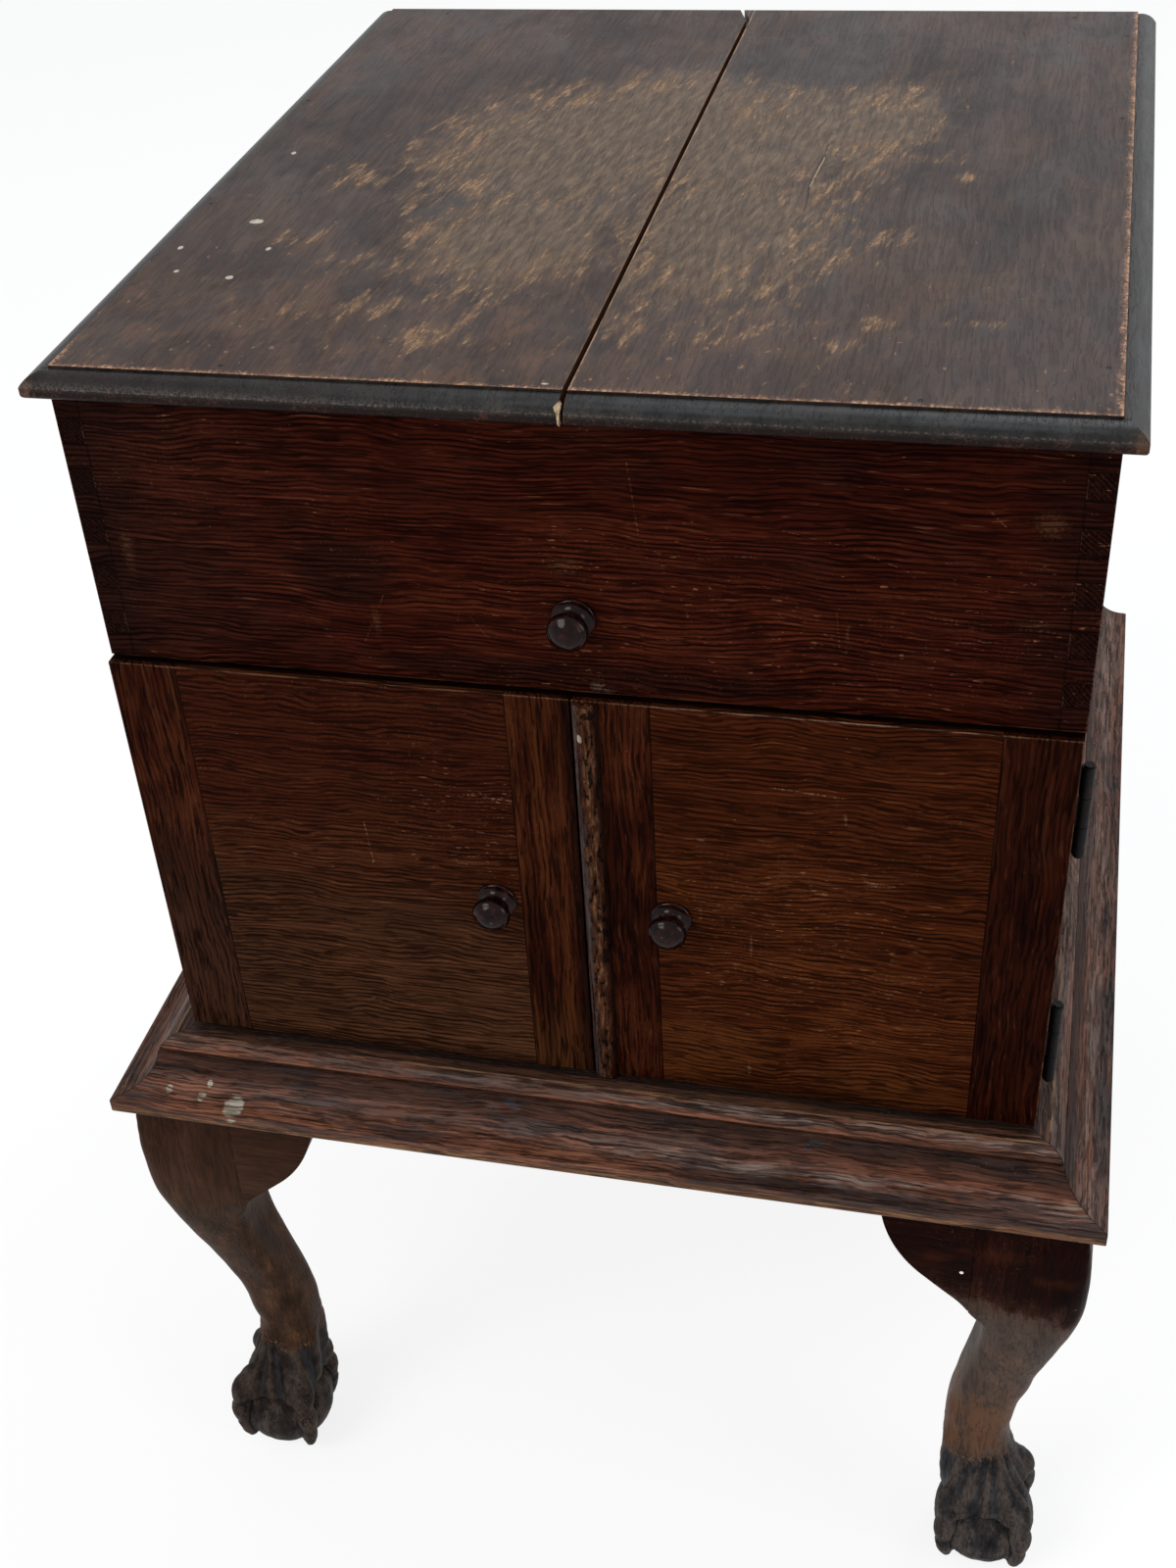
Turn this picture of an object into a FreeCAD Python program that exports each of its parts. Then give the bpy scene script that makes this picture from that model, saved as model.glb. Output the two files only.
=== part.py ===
# Hooded two-door cabinet on a moulded stand with four ball-and-claw feet.
# Millimetres, Z up, front towards -Y, origin on the floor under the middle of the stand.

import FreeCAD, Part
import math
import os
import re
import Sketcher

V = FreeCAD.Vector

# Driving sizes. Each one is a named cell of the sheet.
SIZES = {
    # stand
    "plinth_thick": 29,
    "plinth_board": 70,
    "stand_height": 338,
    "nose_top": 9.6,
    "nose_round": 2.5,
    "cove_lip": 1.5,
    "cove_radius": 20.7,
    "cove_top_inset": 23.3,
    # bead strip round the foot of the case
    "bead_width": 14.95,
    "bead_inset": 24.3,
    "bead_height": 7,
    "bead_land": 7.5,
    "bead_lip": 2.2,
    "bead_radius": 9.5,
    # case
    "hood_width": 460,
    "hood_depth": 523,
    "front_setback": 48,
    "back_setback": 14,
    "board": 12,
    "case_height": 248.2,
    "case_recess": 8,
    "back_board": 8,
    "rail_height": 38,
    "deck_drop": 28.2,
    "deck_thick": 10,
    "cleat": 12,
    # hood
    "hood_height": 137.7,
    "hood_gap": 0.3,
    "finger_count": 11,
    "finger_play": 0.1,
    # lid
    "lid_thick": 11.8,
    "lid_overhang": 9.4,
    "lid_mould": 10.75,
    "lid_quirk": 1.3,
    "lid_drop": 6.2,
    "lid_radius": 10.2,
    "lid_edge": 2.4,
    "lid_under_radius": 2.8,
    "split_front": 5.1,
    "split_bend": 1.6,
    "split_end": -4.8,
    "split_bend_place": 20,
    "split_gap": 2.4,
    # doors
    "door_proud": 6,
    "door_thick": 13,
    "door_inset": 0.5,
    "door_foot_gap": 1.3,
    "door_head_gap": 0.6,
    "meeting_gap": 1,
    "hinge_stile": 34.5,
    "left_meeting_stile": 31.5,
    "right_meeting_stile": 37,
    "tongue_thick": 4.4,
    "tongue_length": 8,
    "tongue_play": 0.1,
    "bead_strip_width": 13,
    "bead_strip_proud": 5,
    "bead_strip_short": 1.2,
    # knobs
    "knob_radius": 9.8,
    "knob_length": 19,
    "knob_collar": 2.2,
    "knob_neck": 5.4,
    "knob_neck_place": 5.5,
    "knob_waist": 8.4,
    "knob_waist_place": 9.5,
    "knob_shoulder": 7.8,
    "knob_dome": 3.2,
    "knob_dome_radius": 11.5,
    "knob_tip": 1,
    "spigot_radius": 3,
    "spigot_length": 7,
    "fit_play": 0.05,
    "hood_knob_offset": 3,
    "hood_knob_rise": 39.8,
    "door_knob_offset": 44.5,
    "door_knob_rise": 114.3,
    # door hinges
    "leaf_height": 50,
    "leaf_width": 12,
    "leaf_thick": 1.2,
    "leaf_let_in": 0.9,
    "barrel_radius": 3,
    "pin_radius": 1.5,
    "knuckle_gap": 0.4,
    "pin_head": 1.2,
    "pin_head_radius": 2.3,
    "barrel_out": 3.4,
    "upper_hinge_drop": 22,
    "lower_hinge_rise": 22,
    # hood hinges
    "hood_leaf_width": 64,
    "hood_leaf_height": 20,
    "hood_leaf_thick": 1.5,
    "hood_hinge_place": 150,
    # quadrant that stays the open hood
    "quadrant_radius": 120,
    "quadrant_width": 10,
    "quadrant_thick": 2.5,
    "quadrant_top_angle": 14,
    "quadrant_end_angle": 83,
    "quadrant_plate": 2,
    "quadrant_plate_length": 44,
    "quadrant_plate_height": 24,
    "stop_angle": 80.5,
    "stop_radius": 3,
    "stop_length": 4.5,
    "guide_wall": 3,
    "guide_play": 0.6,
    "guide_height": 7,
    "guide_drop": 1.5,
    "deck_notch_play": 2.5,
    # door catches
    "catch_place": 26,
    "catch_radius": 4,
    "catch_depth": 9,
    "catch_ball": 2.6,
    "catch_proud": 1.5,
    "strike_height": 18,
    "strike_width": 10,
    "strike_thick": 1,
    "strike_hole": 2.6,
    # legs
    "post_inner": 26,
    "post_side_inset": 8.25,
    "post_front_inset": 12.5,
    "post_round": 1.5,
    "knee_drop": 76,
    "knee_corner": 34,
    "notch_drop": 91,
    "notch_outer": 29.8,
    "notch_inner": 19.5,
    "notch_round": 6,
    "post_outer": 29.5,
    "knee_crown": 34.8,
    "knee_crown_drop": 55,
    "ankle_height": 115,
    "ankle_outer": 5.5,
    "ankle_inner": 32,
    "ankle_round": 15,
    # feet
    "foot_shift": 3,
    "ball_radius": 30,
    "ball_centre": 29,
    "web_height": 44,
    "web_half": 25.5,
    "web_round": 14,
    "arch_radius": 22,
    "claw_reach": 22.5,
    "claw_thick": 6.4,
    # ears beside the posts
    "ear_length": 50,
    "ear_thick": 22,
    "ear_joint_drop": 74,
    "ear_flat_drop": 62.5,
    "ear_rise_drop": 50,
    "ear_flat_place": 10,
    "ear_rise_place": 24,
    "ear_inner_radius": 45,
    "ear_outer_radius": 73.7,
    # working allowance for every through cut
    "overrun": 5,
}

# Places worked out from the driving sizes, in the sheet's own names.
PLACES = {
    "plinth_width": "hood_width + 2 * (bead_width + bead_inset)",
    "plinth_depth": "hood_depth + front_setback + back_setback",
    "half_width": "hood_width / 2",
    "hood_front": "front_setback - plinth_depth / 2",
    "hood_back": "plinth_depth / 2 - back_setback",
    "plinth_top": "stand_height + plinth_thick",
    "case_front": "hood_front + case_recess",
    "case_top": "plinth_top + case_height",
    "case_inside": "half_width - board",
    "hood_floor": "case_top + hood_gap",
    "lid_floor": "hood_floor + hood_height",
    "lid_top": "lid_floor + lid_thick",
    "lid_half": "half_width + lid_overhang",
    "lid_front": "hood_front - lid_overhang",
    "finger": "hood_height / finger_count",
    "door_front": "hood_front - door_proud",
    "door_back": "door_front + door_thick",
    "door_edge": "half_width - door_inset",
    "door_floor": "plinth_top + bead_height + door_foot_gap",
    "door_top": "case_top - door_head_gap",
    "door_height": "door_top - door_floor",
    "door_middle": "(door_front + door_back) / 2",
    "bead_side": "half_width + bead_width",
    "bead_inner_drop": "bead_side - half_width - bead_land",
    "bead_front": "bead_inset - plinth_depth / 2",
    "deck_top": "case_top - deck_drop",
    "deck_floor": "deck_top - deck_thick",
    "hinge_gap": "case_front - door_back",
    "hinge_y": "case_front - hinge_gap / 2",
    "hinge_x": "half_width + barrel_out",
    "upper_leaf_floor": "door_top - upper_hinge_drop - leaf_height",
    "lower_leaf_floor": "door_floor + lower_hinge_rise",
    "knuckle": "leaf_height / 3",
    "hood_axis_y": "hood_back + barrel_radius",
    "hood_axis_z": "case_top + hood_gap / 2",
    "hood_knuckle": "hood_leaf_width / 5",
    "post_centre_x": "plinth_width / 2 - post_side_inset - post_outer",
    "post_centre_y": "post_front_inset + post_outer - plinth_depth / 2",
    "knee_radius": "((knee_crown - post_outer) * (knee_crown - post_outer)"
                   " + knee_crown_drop * knee_crown_drop) / (2 * (knee_crown - post_outer))",
    "notch_height": "stand_height - notch_drop",
    "knee_height": "stand_height - knee_drop",
    "quadrant_face": "case_inside - quadrant_plate",
    "plate_floor": "hood_floor + guide_drop * 2",
}

doc = FreeCAD.newDocument("cabinet")
sheet = doc.addObject("Spreadsheet::Sheet", "Sizes")
for row, (alias, size) in enumerate(SIZES.items(), start=1):
    sheet.set(f"A{row}", alias)
    sheet.set(f"B{row}", str(size))
    sheet.setAlias(f"B{row}", alias)
doc.recompute()

parts = []


def bind(text):
    """Turn a sum of plain names into an expression on the sheet."""
    def swap(match):
        word = match.group(0)
        if word in SIZES:
            return "Sizes." + word
        if word in PLACES:
            return "(" + bind(PLACES[word]) + ")"
        return word
    return re.sub(r"[a-z_]+[a-z]", swap, str(text))


def number(text):
    """The present value of such a sum."""
    return float(sheet.evalExpression(bind(text)))


def name_part(thing, label):
    """Make a document object one of the named pieces."""
    thing.Label = label
    parts.append(thing)
    return thing


def place(thing, x, y, z):
    """Bind the three coordinates of a placement."""
    for axis, text in zip("xyz", (x, y, z)):
        thing.setExpression("Placement.Base." + axis, bind(text))


def box(name, x, y, z):
    """A board between two planes along each axis."""
    board = doc.addObject("Part::Box", name)
    for side, (low, high) in zip(("Length", "Width", "Height"), (x, y, z)):
        board.setExpression(side, bind(f"({high}) - ({low})"))
    place(board, x[0], y[0], z[0])
    return board


TURNS = {"x": V(0, 1, 0), "y": V(-1, 0, 0), "z": V(0, 0, 1)}


def rod(name, axis, x, y, z, radius, length):
    """A round bar that starts at a point and runs along +X, +Y or +Z."""
    bar = doc.addObject("Part::Cylinder", name)
    quarter = 0 if axis == "z" else 90
    bar.Placement = FreeCAD.Placement(V(), FreeCAD.Rotation(TURNS[axis], quarter))
    bar.setExpression("Radius", bind(radius))
    bar.setExpression("Height", bind(length))
    place(bar, x, y, z)
    return bar


def fuse(name, shapes):
    """One solid, or a group of solids, from several."""
    joined = doc.addObject("Part::MultiFuse", name)
    joined.Shapes = shapes
    joined.Refine = True
    return joined


def cut(name, base, tools):
    """A base with every tool taken away."""
    for index, tool in enumerate(tools):
        step = doc.addObject("Part::Cut", f"{name}_{index}")
        step.Base = base
        step.Tool = tool
        base = step
    return base


def mirror(source, label, normal):
    """The same piece on the other side of the middle."""
    twin = doc.addObject("Part::Mirroring", label + "_mirror")
    twin.Source = source
    twin.Normal = normal
    return name_part(twin, label)


def body(name):
    return doc.addObject("PartDesign::Body", name)


def plane_of(owner, role):
    return next(item for item in owner.Origin.OriginFeatures if item.Role == role)


def sketch_on(owner, name, role, lift="0"):
    """An empty sketch on one of the body's own planes, moved along its normal."""
    sketch = owner.newObject("Sketcher::SketchObject", name)
    sketch.AttachmentSupport = [(plane_of(owner, role), "")]
    sketch.MapMode = "FlatFace"
    sketch.setExpression("AttachmentOffset.Base.z", bind(lift))
    return sketch


def fix_point(sketch, edge, end, x, y):
    """Hold one end of an edge at a named place."""
    for kind, text in (("DistanceX", x), ("DistanceY", y)):
        held = sketch.addConstraint(Sketcher.Constraint(kind, -1, 1, edge, end, number(text)))
        sketch.setExpression(f"Constraints[{held}]", bind(text))


def arc_between(start, finish, radius, turn):
    """The short arc between two spots: turn is 1 to the left and -1 to the right."""
    chord = finish - start
    rise = max(radius * radius - chord.Length * chord.Length / 4, 0) ** 0.5
    across = V(-chord.y, chord.x, 0).normalize()
    centre = (start + finish) * 0.5 + across * rise * turn
    ends = (start, finish) if turn > 0 else (finish, start)
    first, last = [math.atan2(spot.y - centre.y, spot.x - centre.x) for spot in ends]
    if last < first:
        last += 2 * math.pi
    return Part.ArcOfCircle(Part.Circle(centre, V(0, 0, 1), radius), first, last)


def outline(sketch, points):
    """A closed outline. A point is (x, y), or (x, y, radius, turn) when an arc leads to it."""
    spots = [V(number(point[0]), number(point[1]), 0) for point in points]
    count = len(points)
    ends = []
    for index, start in enumerate(spots):
        goal = points[(index + 1) % count]
        finish = spots[(index + 1) % count]
        if len(goal) == 4:
            sketch.addGeometry(arc_between(start, finish, number(goal[2]), goal[3]), False)
            ends.append((1, 2) if goal[3] > 0 else (2, 1))
        else:
            sketch.addGeometry(Part.LineSegment(start, finish), False)
            ends.append((1, 2))
    for index, point in enumerate(points):
        following = (index + 1) % count
        joint = Sketcher.Constraint("Coincident", index, ends[index][1], following, ends[following][0])
        sketch.addConstraint(joint)
        fix_point(sketch, index, ends[index][0], point[0], point[1])
    for index in range(count):
        goal = points[(index + 1) % count]
        if len(goal) == 4:
            held = sketch.addConstraint(Sketcher.Constraint("Radius", index, number(goal[2])))
            sketch.setExpression(f"Constraints[{held}]", bind(goal[2]))
    return sketch


def circle(sketch, x, y, radius):
    """A full circle held at its centre."""
    spot = V(number(x), number(y), 0)
    sketch.addGeometry(Part.Circle(spot, V(0, 0, 1), number(radius)), False)
    fix_point(sketch, 0, 3, x, y)
    held = sketch.addConstraint(Sketcher.Constraint("Radius", 0, number(radius)))
    sketch.setExpression(f"Constraints[{held}]", bind(radius))
    return sketch


def pad(owner, name, sketch, length):
    step = owner.newObject("PartDesign::Pad", name)
    step.Profile = sketch
    step.setExpression("Length", bind(length))
    sketch.Visibility = False
    return step


def trim(owner, name, sketch):
    """Cut the sketched waste away on both sides of its plane, right through."""
    doc.recompute()
    before = owner.Shape.Volume
    step = owner.newObject("PartDesign::Pocket", name)
    step.Profile = sketch
    step.Type = "ThroughAll"
    step.Midplane = True
    doc.recompute()
    if not owner.Shape.Volume < before:
        raise RuntimeError(name + " cuts nothing")
    return step


def loft(owner, name, sections, ruled=False):
    step = owner.newObject("PartDesign::AdditiveLoft", name)
    step.Profile = sections[0]
    step.Sections = sections[1:]
    step.Ruled = ruled
    return step


# Hood: four boards finger-jointed at the corners

def finger_boxes(name, x, y, first):
    """The fingers first, first + 2, and so on, as cutters for the board that lacks them."""
    tools = []
    for index in range(first, SIZES["finger_count"], 2):
        low = f"hood_floor + finger * {index} - finger_play / 2"
        high = f"hood_floor + finger * {index + 1} + finger_play / 2"
        if index == 0:
            low = "hood_floor - overrun"
        if index == SIZES["finger_count"] - 1:
            high = "lid_floor + overrun"
        tools.append(box(f"{name}_finger_{index}", x, y, (low, high)))
    return tools


def hood_board(label, x, y, corners, first):
    blank = box(label + "_blank", x, y, ("hood_floor", "lid_floor"))
    tools = []
    for index, (corner_x, corner_y) in enumerate(corners):
        tools += finger_boxes(f"{label}_{index}", corner_x, corner_y, first)
    return blank, tools


def make_hood():
    left = ("-half_width - overrun", "-case_inside")
    right = ("case_inside", "half_width + overrun")
    across = ("-half_width", "half_width")
    front = ("hood_front", "hood_front + board")
    rear = ("hood_back - board", "hood_back")
    before = ("hood_front - overrun", "hood_front + board")
    behind = ("hood_back - board", "hood_back + overrun")
    along = ("hood_front", "hood_back")

    blank, tools = hood_board("hood_front", across, front, [(left, before), (right, before)], 1)
    socket = rod("hood_knob_socket", "y", "hood_knob_offset", "hood_front - overrun",
                 "hood_floor + hood_knob_rise", "spigot_radius + fit_play",
                 "overrun + spigot_length + fit_play")
    name_part(cut("hood_front_cut", blank, tools + [socket]), "hood_front")

    blank, tools = hood_board("hood_back", across, rear, [(left, behind), (right, behind)], 1)
    name_part(cut("hood_back_cut", blank, tools), "hood_back")

    sides = (("hood_left_side", ("-half_width", "-case_inside"), left),
             ("hood_right_side", ("case_inside", "half_width"), right))
    for label, x, reach in sides:
        blank, tools = hood_board(label, x, along, [(reach, before), (reach, behind)], 0)
        name_part(cut(label + "_cut", blank, tools), label)


# Lid: two boards, split along the old crack, with a thumbnail moulding on three edges

def mould_waste(edge, sign):
    """What the moulding plane takes off, as seen along the edge. sign turns it round."""
    def at(inset):
        return f"{sign}(({edge}) - ({inset}))"
    turn = -1 if sign == "" else 1
    beyond = f"{sign}(({edge}) + overrun)"
    return [(at("lid_mould"), "lid_top + overrun"),
            (at("lid_mould"), "lid_top - lid_quirk"),
            (at("0"), "lid_top - lid_drop", "lid_radius", turn),
            (at("0"), "lid_floor + lid_edge"),
            (at("lid_edge"), "lid_floor", "lid_under_radius", turn),
            (at("lid_edge"), "lid_floor - overrun"),
            (beyond, "lid_floor - overrun"),
            (beyond, "lid_top + overrun")]


def make_lid_board(label, side, sign):
    """side is the outer half width, with its sign. The old crack leans and bends at the back."""
    lid = body(label + "_body")
    shift = f"{sign}split_gap / 2"
    plan = sketch_on(lid, label + "_plan", "XY_Plane", "lid_floor")
    outline(plan, [(side, "lid_front"),
                   (f"split_front {shift}", "lid_front"),
                   (f"split_bend {shift}", "hood_back - split_bend_place"),
                   (f"split_end {shift}", "hood_back"),
                   (side, "hood_back")])
    pad(lid, label + "_pad", plan, "lid_thick")
    flank = sketch_on(lid, label + "_flank", "XZ_Plane")
    outline(flank, mould_waste("lid_half", "" if sign == "+ " else "-"))
    trim(lid, label + "_flank_cut", flank)
    nose = sketch_on(lid, label + "_nose", "YZ_Plane")
    outline(nose, mould_waste("-(lid_front)", "-"))
    trim(lid, label + "_nose_cut", nose)
    name_part(lid, label)


# Knobs: turned, with a collar and a spigot

def make_knob(label, x, y, z):
    knob = body(label + "_body")
    half = sketch_on(knob, label + "_profile", "XZ_Plane")
    outline(half, [("0", "-spigot_length"),
                   ("spigot_radius", "-spigot_length"),
                   ("spigot_radius", "0"),
                   ("knob_radius", "0"),
                   ("knob_radius", "knob_collar", "knob_collar * 0.6", 1),
                   ("knob_neck", "knob_neck_place", "knob_radius * 0.45", -1),
                   ("knob_waist", "knob_waist_place", "knob_radius * 0.5", -1),
                   ("knob_shoulder", "knob_length - knob_dome", "knob_radius * 0.4", 1),
                   ("knob_tip", "knob_length", "knob_dome_radius", 1),
                   ("0", "knob_length")])
    turned = knob.newObject("PartDesign::Revolution", label + "_turned")
    turned.Profile = half
    turned.ReferenceAxis = (half, ["V_Axis"])
    turned.Angle = 360
    knob.Placement = FreeCAD.Placement(V(), FreeCAD.Rotation(V(1, 0, 0), 90))
    place(knob, x, y, z)
    name_part(knob, label)


# Case: sides, floor, back, deck and rail

def leaf_recess(name, low):
    """Where a case leaf is let into the front edge of a side."""
    return box(name, ("hinge_x - barrel_out - leaf_width", "half_width + overrun"),
               ("case_front - overrun", "case_front + leaf_let_in"), (low, f"{low} + leaf_height"))


def make_case():
    inside = ("-case_inside", "case_inside")
    deep = ("case_front", "hood_back - back_board")
    side = box("case_right_blank", ("case_inside", "half_width"), ("case_front", "hood_back"),
               ("plinth_top", "case_top"))
    right = cut("case_right_cut", side, [leaf_recess("upper_recess", "upper_leaf_floor"),
                                         leaf_recess("lower_recess", "lower_leaf_floor")])
    name_part(right, "case_right_side")
    mirror(right, "case_left_side", V(1, 0, 0))
    name_part(box("case_bottom_board", inside, deep, ("plinth_top", "plinth_top + board")), "case_bottom")
    name_part(box("case_back_board", inside, ("hood_back - back_board", "hood_back"),
                  ("plinth_top", "case_top")), "case_back")

    deck = box("deck_blank", inside, ("case_front + board", "hood_back - back_board"),
               ("deck_floor", "deck_top"))
    notch = box("deck_notch", ("quadrant_face - quadrant_thick - stop_length - deck_notch_play", "case_inside + overrun"),
                ("hood_axis_y - quadrant_radius - quadrant_width / 2 - deck_notch_play",
                 "hood_axis_y - quadrant_radius * 0.96 + quadrant_width / 2 + deck_notch_play"),
                ("deck_floor - overrun", "deck_top + overrun"))
    name_part(cut("deck_cut", deck, [notch]), "deck_board")

    rail = box("rail_blank", inside, ("case_front", "case_front + board"),
               ("case_top - rail_height", "case_top"))
    bores = [rod(f"{side}_catch_bore", "y", f"{sign}catch_place", "case_front - overrun",
                 "case_top - rail_height / 2", "catch_radius + fit_play", "overrun + catch_depth + fit_play")
             for side, sign in (("right", ""), ("left", "-"))]
    name_part(cut("rail_cut", rail, bores), "top_rail")

    cleat = box("right_cleat", ("case_inside - cleat", "case_inside"),
                ("case_front + board", "hood_axis_y - quadrant_radius - quadrant_width / 2 - cleat"),
                ("deck_floor - cleat", "deck_floor"))
    name_part(cleat, "deck_right_cleat")
    mirror(cleat, "deck_left_cleat", V(1, 0, 0))


# Stand: mitred bead strip and plinth boards

def plinth_profile(edge, sign):
    """Section of a moulded plinth board. edge is its nose, sign points the nose outwards."""
    def at(inset):
        return f"{sign}(({edge}) - ({inset}))"
    turn = 1 if sign == "" else -1
    return [(at("plinth_board"), "stand_height"),
            (at("nose_round"), "stand_height"),
            (at("0"), "stand_height + nose_round", "nose_round", turn),
            (at("0"), "stand_height + nose_top"),
            (at("cove_lip"), "stand_height + nose_top + cove_lip * 0.3"),
            (at("cove_top_inset"), "plinth_top", "cove_radius", -turn),
            (at("plinth_board"), "plinth_top")]


def bead_profile(inner, outer, sign):
    """Section of the strip round the case: a flat land, then a quarter round down to a lip."""
    def at(text):
        return f"{sign}({text})"
    turn = 1 if sign == "" else -1
    return [(at(inner), "plinth_top"),
            (at(f"{outer} - bead_lip / 2"), "plinth_top"),
            (at(outer), "plinth_top + bead_lip"),
            (at(f"{outer} - bead_inner_drop"), "plinth_top + bead_height", "bead_radius", turn),
            (at(inner), "plinth_top + bead_height")]




def mitre_waste(nose_x, nose_y, heel_x, heel_y, along):
    """Plan of the corner beyond a mitre that runs from the nose to the heel."""
    if along == "x":
        return [(nose_x, nose_y), (f"{nose_x} + overrun", nose_y),
                (f"{nose_x} + overrun", f"{heel_y} + overrun"), (heel_x, f"{heel_y} + overrun"),
                (heel_x, heel_y)]
    return [(nose_x, nose_y), (nose_x, f"{nose_y} - overrun"),
            (f"{heel_x} - overrun", f"{nose_y} - overrun"), (f"{heel_x} - overrun", heel_y),
            (heel_x, heel_y)]


def make_stand():
    nose_x = "plinth_width / 2"
    nose_y = "-plinth_depth / 2"
    heel_x = "plinth_width / 2 - plinth_board"
    heel_y = "plinth_board - plinth_depth / 2"

    front = body("plinth_front_body")
    section = sketch_on(front, "plinth_front_section", "YZ_Plane", "-plinth_width / 2")
    outline(section, plinth_profile("plinth_depth / 2", "-"))
    pad(front, "plinth_front_pad", section, "plinth_width")
    for side, sign in (("right", ""), ("left", "-")):
        corner = sketch_on(front, f"plinth_front_{side}_mitre", "XY_Plane")
        plan = mitre_waste(nose_x, nose_y, heel_x, heel_y, "x")
        outline(corner, [(f"{sign}({x})", y) for x, y in plan])
        trim(front, f"plinth_front_{side}_cut", corner)
    name_part(front, "plinth_front")

    side_board = body("plinth_right_body")
    section = sketch_on(side_board, "plinth_right_section", "XZ_Plane", "-plinth_depth / 2")
    outline(section, plinth_profile("plinth_width / 2", ""))
    pad(side_board, "plinth_right_pad", section, "plinth_depth")
    corner = sketch_on(side_board, "plinth_right_mitre", "XY_Plane")
    outline(corner, mitre_waste(nose_x, nose_y, heel_x, heel_y, "y"))
    trim(side_board, "plinth_right_cut", corner)
    name_part(side_board, "plinth_right")
    mirror(side_board, "plinth_left", V(1, 0, 0))
    name_part(box("plinth_back_board", (f"-({heel_x})", heel_x),
                  ("plinth_depth / 2 - plinth_board", "plinth_depth / 2"), ("stand_height", "plinth_top")),
              "plinth_back")


def make_bead():
    mitre_y = "bead_front + bead_side - half_width"
    front = body("bead_front_body")
    section = sketch_on(front, "bead_front_section", "YZ_Plane", "-(bead_side)")
    outline(section, bead_profile("-(case_front)", "-(bead_front)", "-"))
    pad(front, "bead_front_pad", section, "2 * (bead_side)")
    for side, sign in (("right", ""), ("left", "-")):
        corner = sketch_on(front, f"bead_front_{side}_mitre", "XY_Plane")
        plan = [("bead_side", "bead_front"), ("bead_side + overrun", "bead_front"),
                ("bead_side + overrun", "case_front + overrun"), ("half_width", "case_front + overrun"),
                ("half_width", mitre_y)]
        outline(corner, [(f"{sign}({x})", y) for x, y in plan])
        trim(front, f"bead_front_{side}_cut", corner)
    name_part(front, "bead_front")

    strip = body("bead_right_body")
    section = sketch_on(strip, "bead_right_section", "XZ_Plane", "-(hood_back)")
    outline(section, bead_profile("half_width", "bead_side", ""))
    pad(strip, "bead_right_pad", section, "hood_back - (bead_front)")
    corner = sketch_on(strip, "bead_right_mitre", "XY_Plane")
    outline(corner, mitre_waste("bead_side", "bead_front", "half_width", mitre_y, "y"))
    trim(strip, "bead_right_cut", corner)
    name_part(strip, "bead_right")
    mirror(strip, "bead_left", V(1, 0, 0))


# Legs: post, knee, cabriole shank, and a foot of four claws on a ball

# Drop below the stand as a share of the crown's, and how far back from the crown
POST_SHARES = ((0.0, 1.0), (0.327, 0.453), (0.69, 0.096), (1.0, 0.0))
# Height, outer face, inner face and corner round between ankle (0) and notch (1)
SHANK_SHARES = ((0.833, 0.835, 1.16, 0.80), (0.644, 0.605, 0.944, 0.58),
                (0.417, 0.267, 0.544, 0.35), (0.189, 0.095, 0.16, 0.12))
# Height, outer face, inner face and corner round between web edge (0) and ankle (1)
WEB_SHARES = ((0.718, 0.93, 1.05, 0.8), (0.437, 0.6, 0.85, 0.4), (0.197, 0.2, 0.4, 0.2))
# Height from floor (0) to ankle (1), reach and thickness of a claw, pull towards the ankle
CLAW_SHARES = ((0.09, 0.90, 0.52, 0.0), (0.17, 0.97, 0.76, 0.0), (0.28, 1.0, 0.90, 0.0),
               (0.40, 0.98, 1.0, 0.0), (0.50, 0.88, 1.08, 0.05), (0.60, 0.66, 1.08, 0.30),
               (0.74, 0.36, 0.92, 0.75))


def rounded_leg_section(owner, name, x, y, outer, inner, corner, height):
    """A level section of the leg: a square with round corners, its outer corner front right."""
    right = f"{x} + {outer}"
    left = f"{x} - ({inner})"
    front = f"{y} - ({outer})"
    rear = f"{y} + {inner}"
    section = sketch_on(owner, name, "XY_Plane", height)
    return outline(section, [(f"{left} + {corner}", front, corner, 1),
                             (f"{right} - ({corner})", front),
                             (right, f"{front} + {corner}", corner, 1),
                             (right, f"{rear} - ({corner})"),
                             (f"{right} - ({corner})", rear, corner, 1),
                             (f"{left} + {corner}", rear),
                             (left, f"{rear} - ({corner})", corner, 1),
                             (left, f"{front} + {corner}")])


def blend(low, high, share):
    return f"({low}) + (({high}) - ({low})) * {share}"


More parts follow.
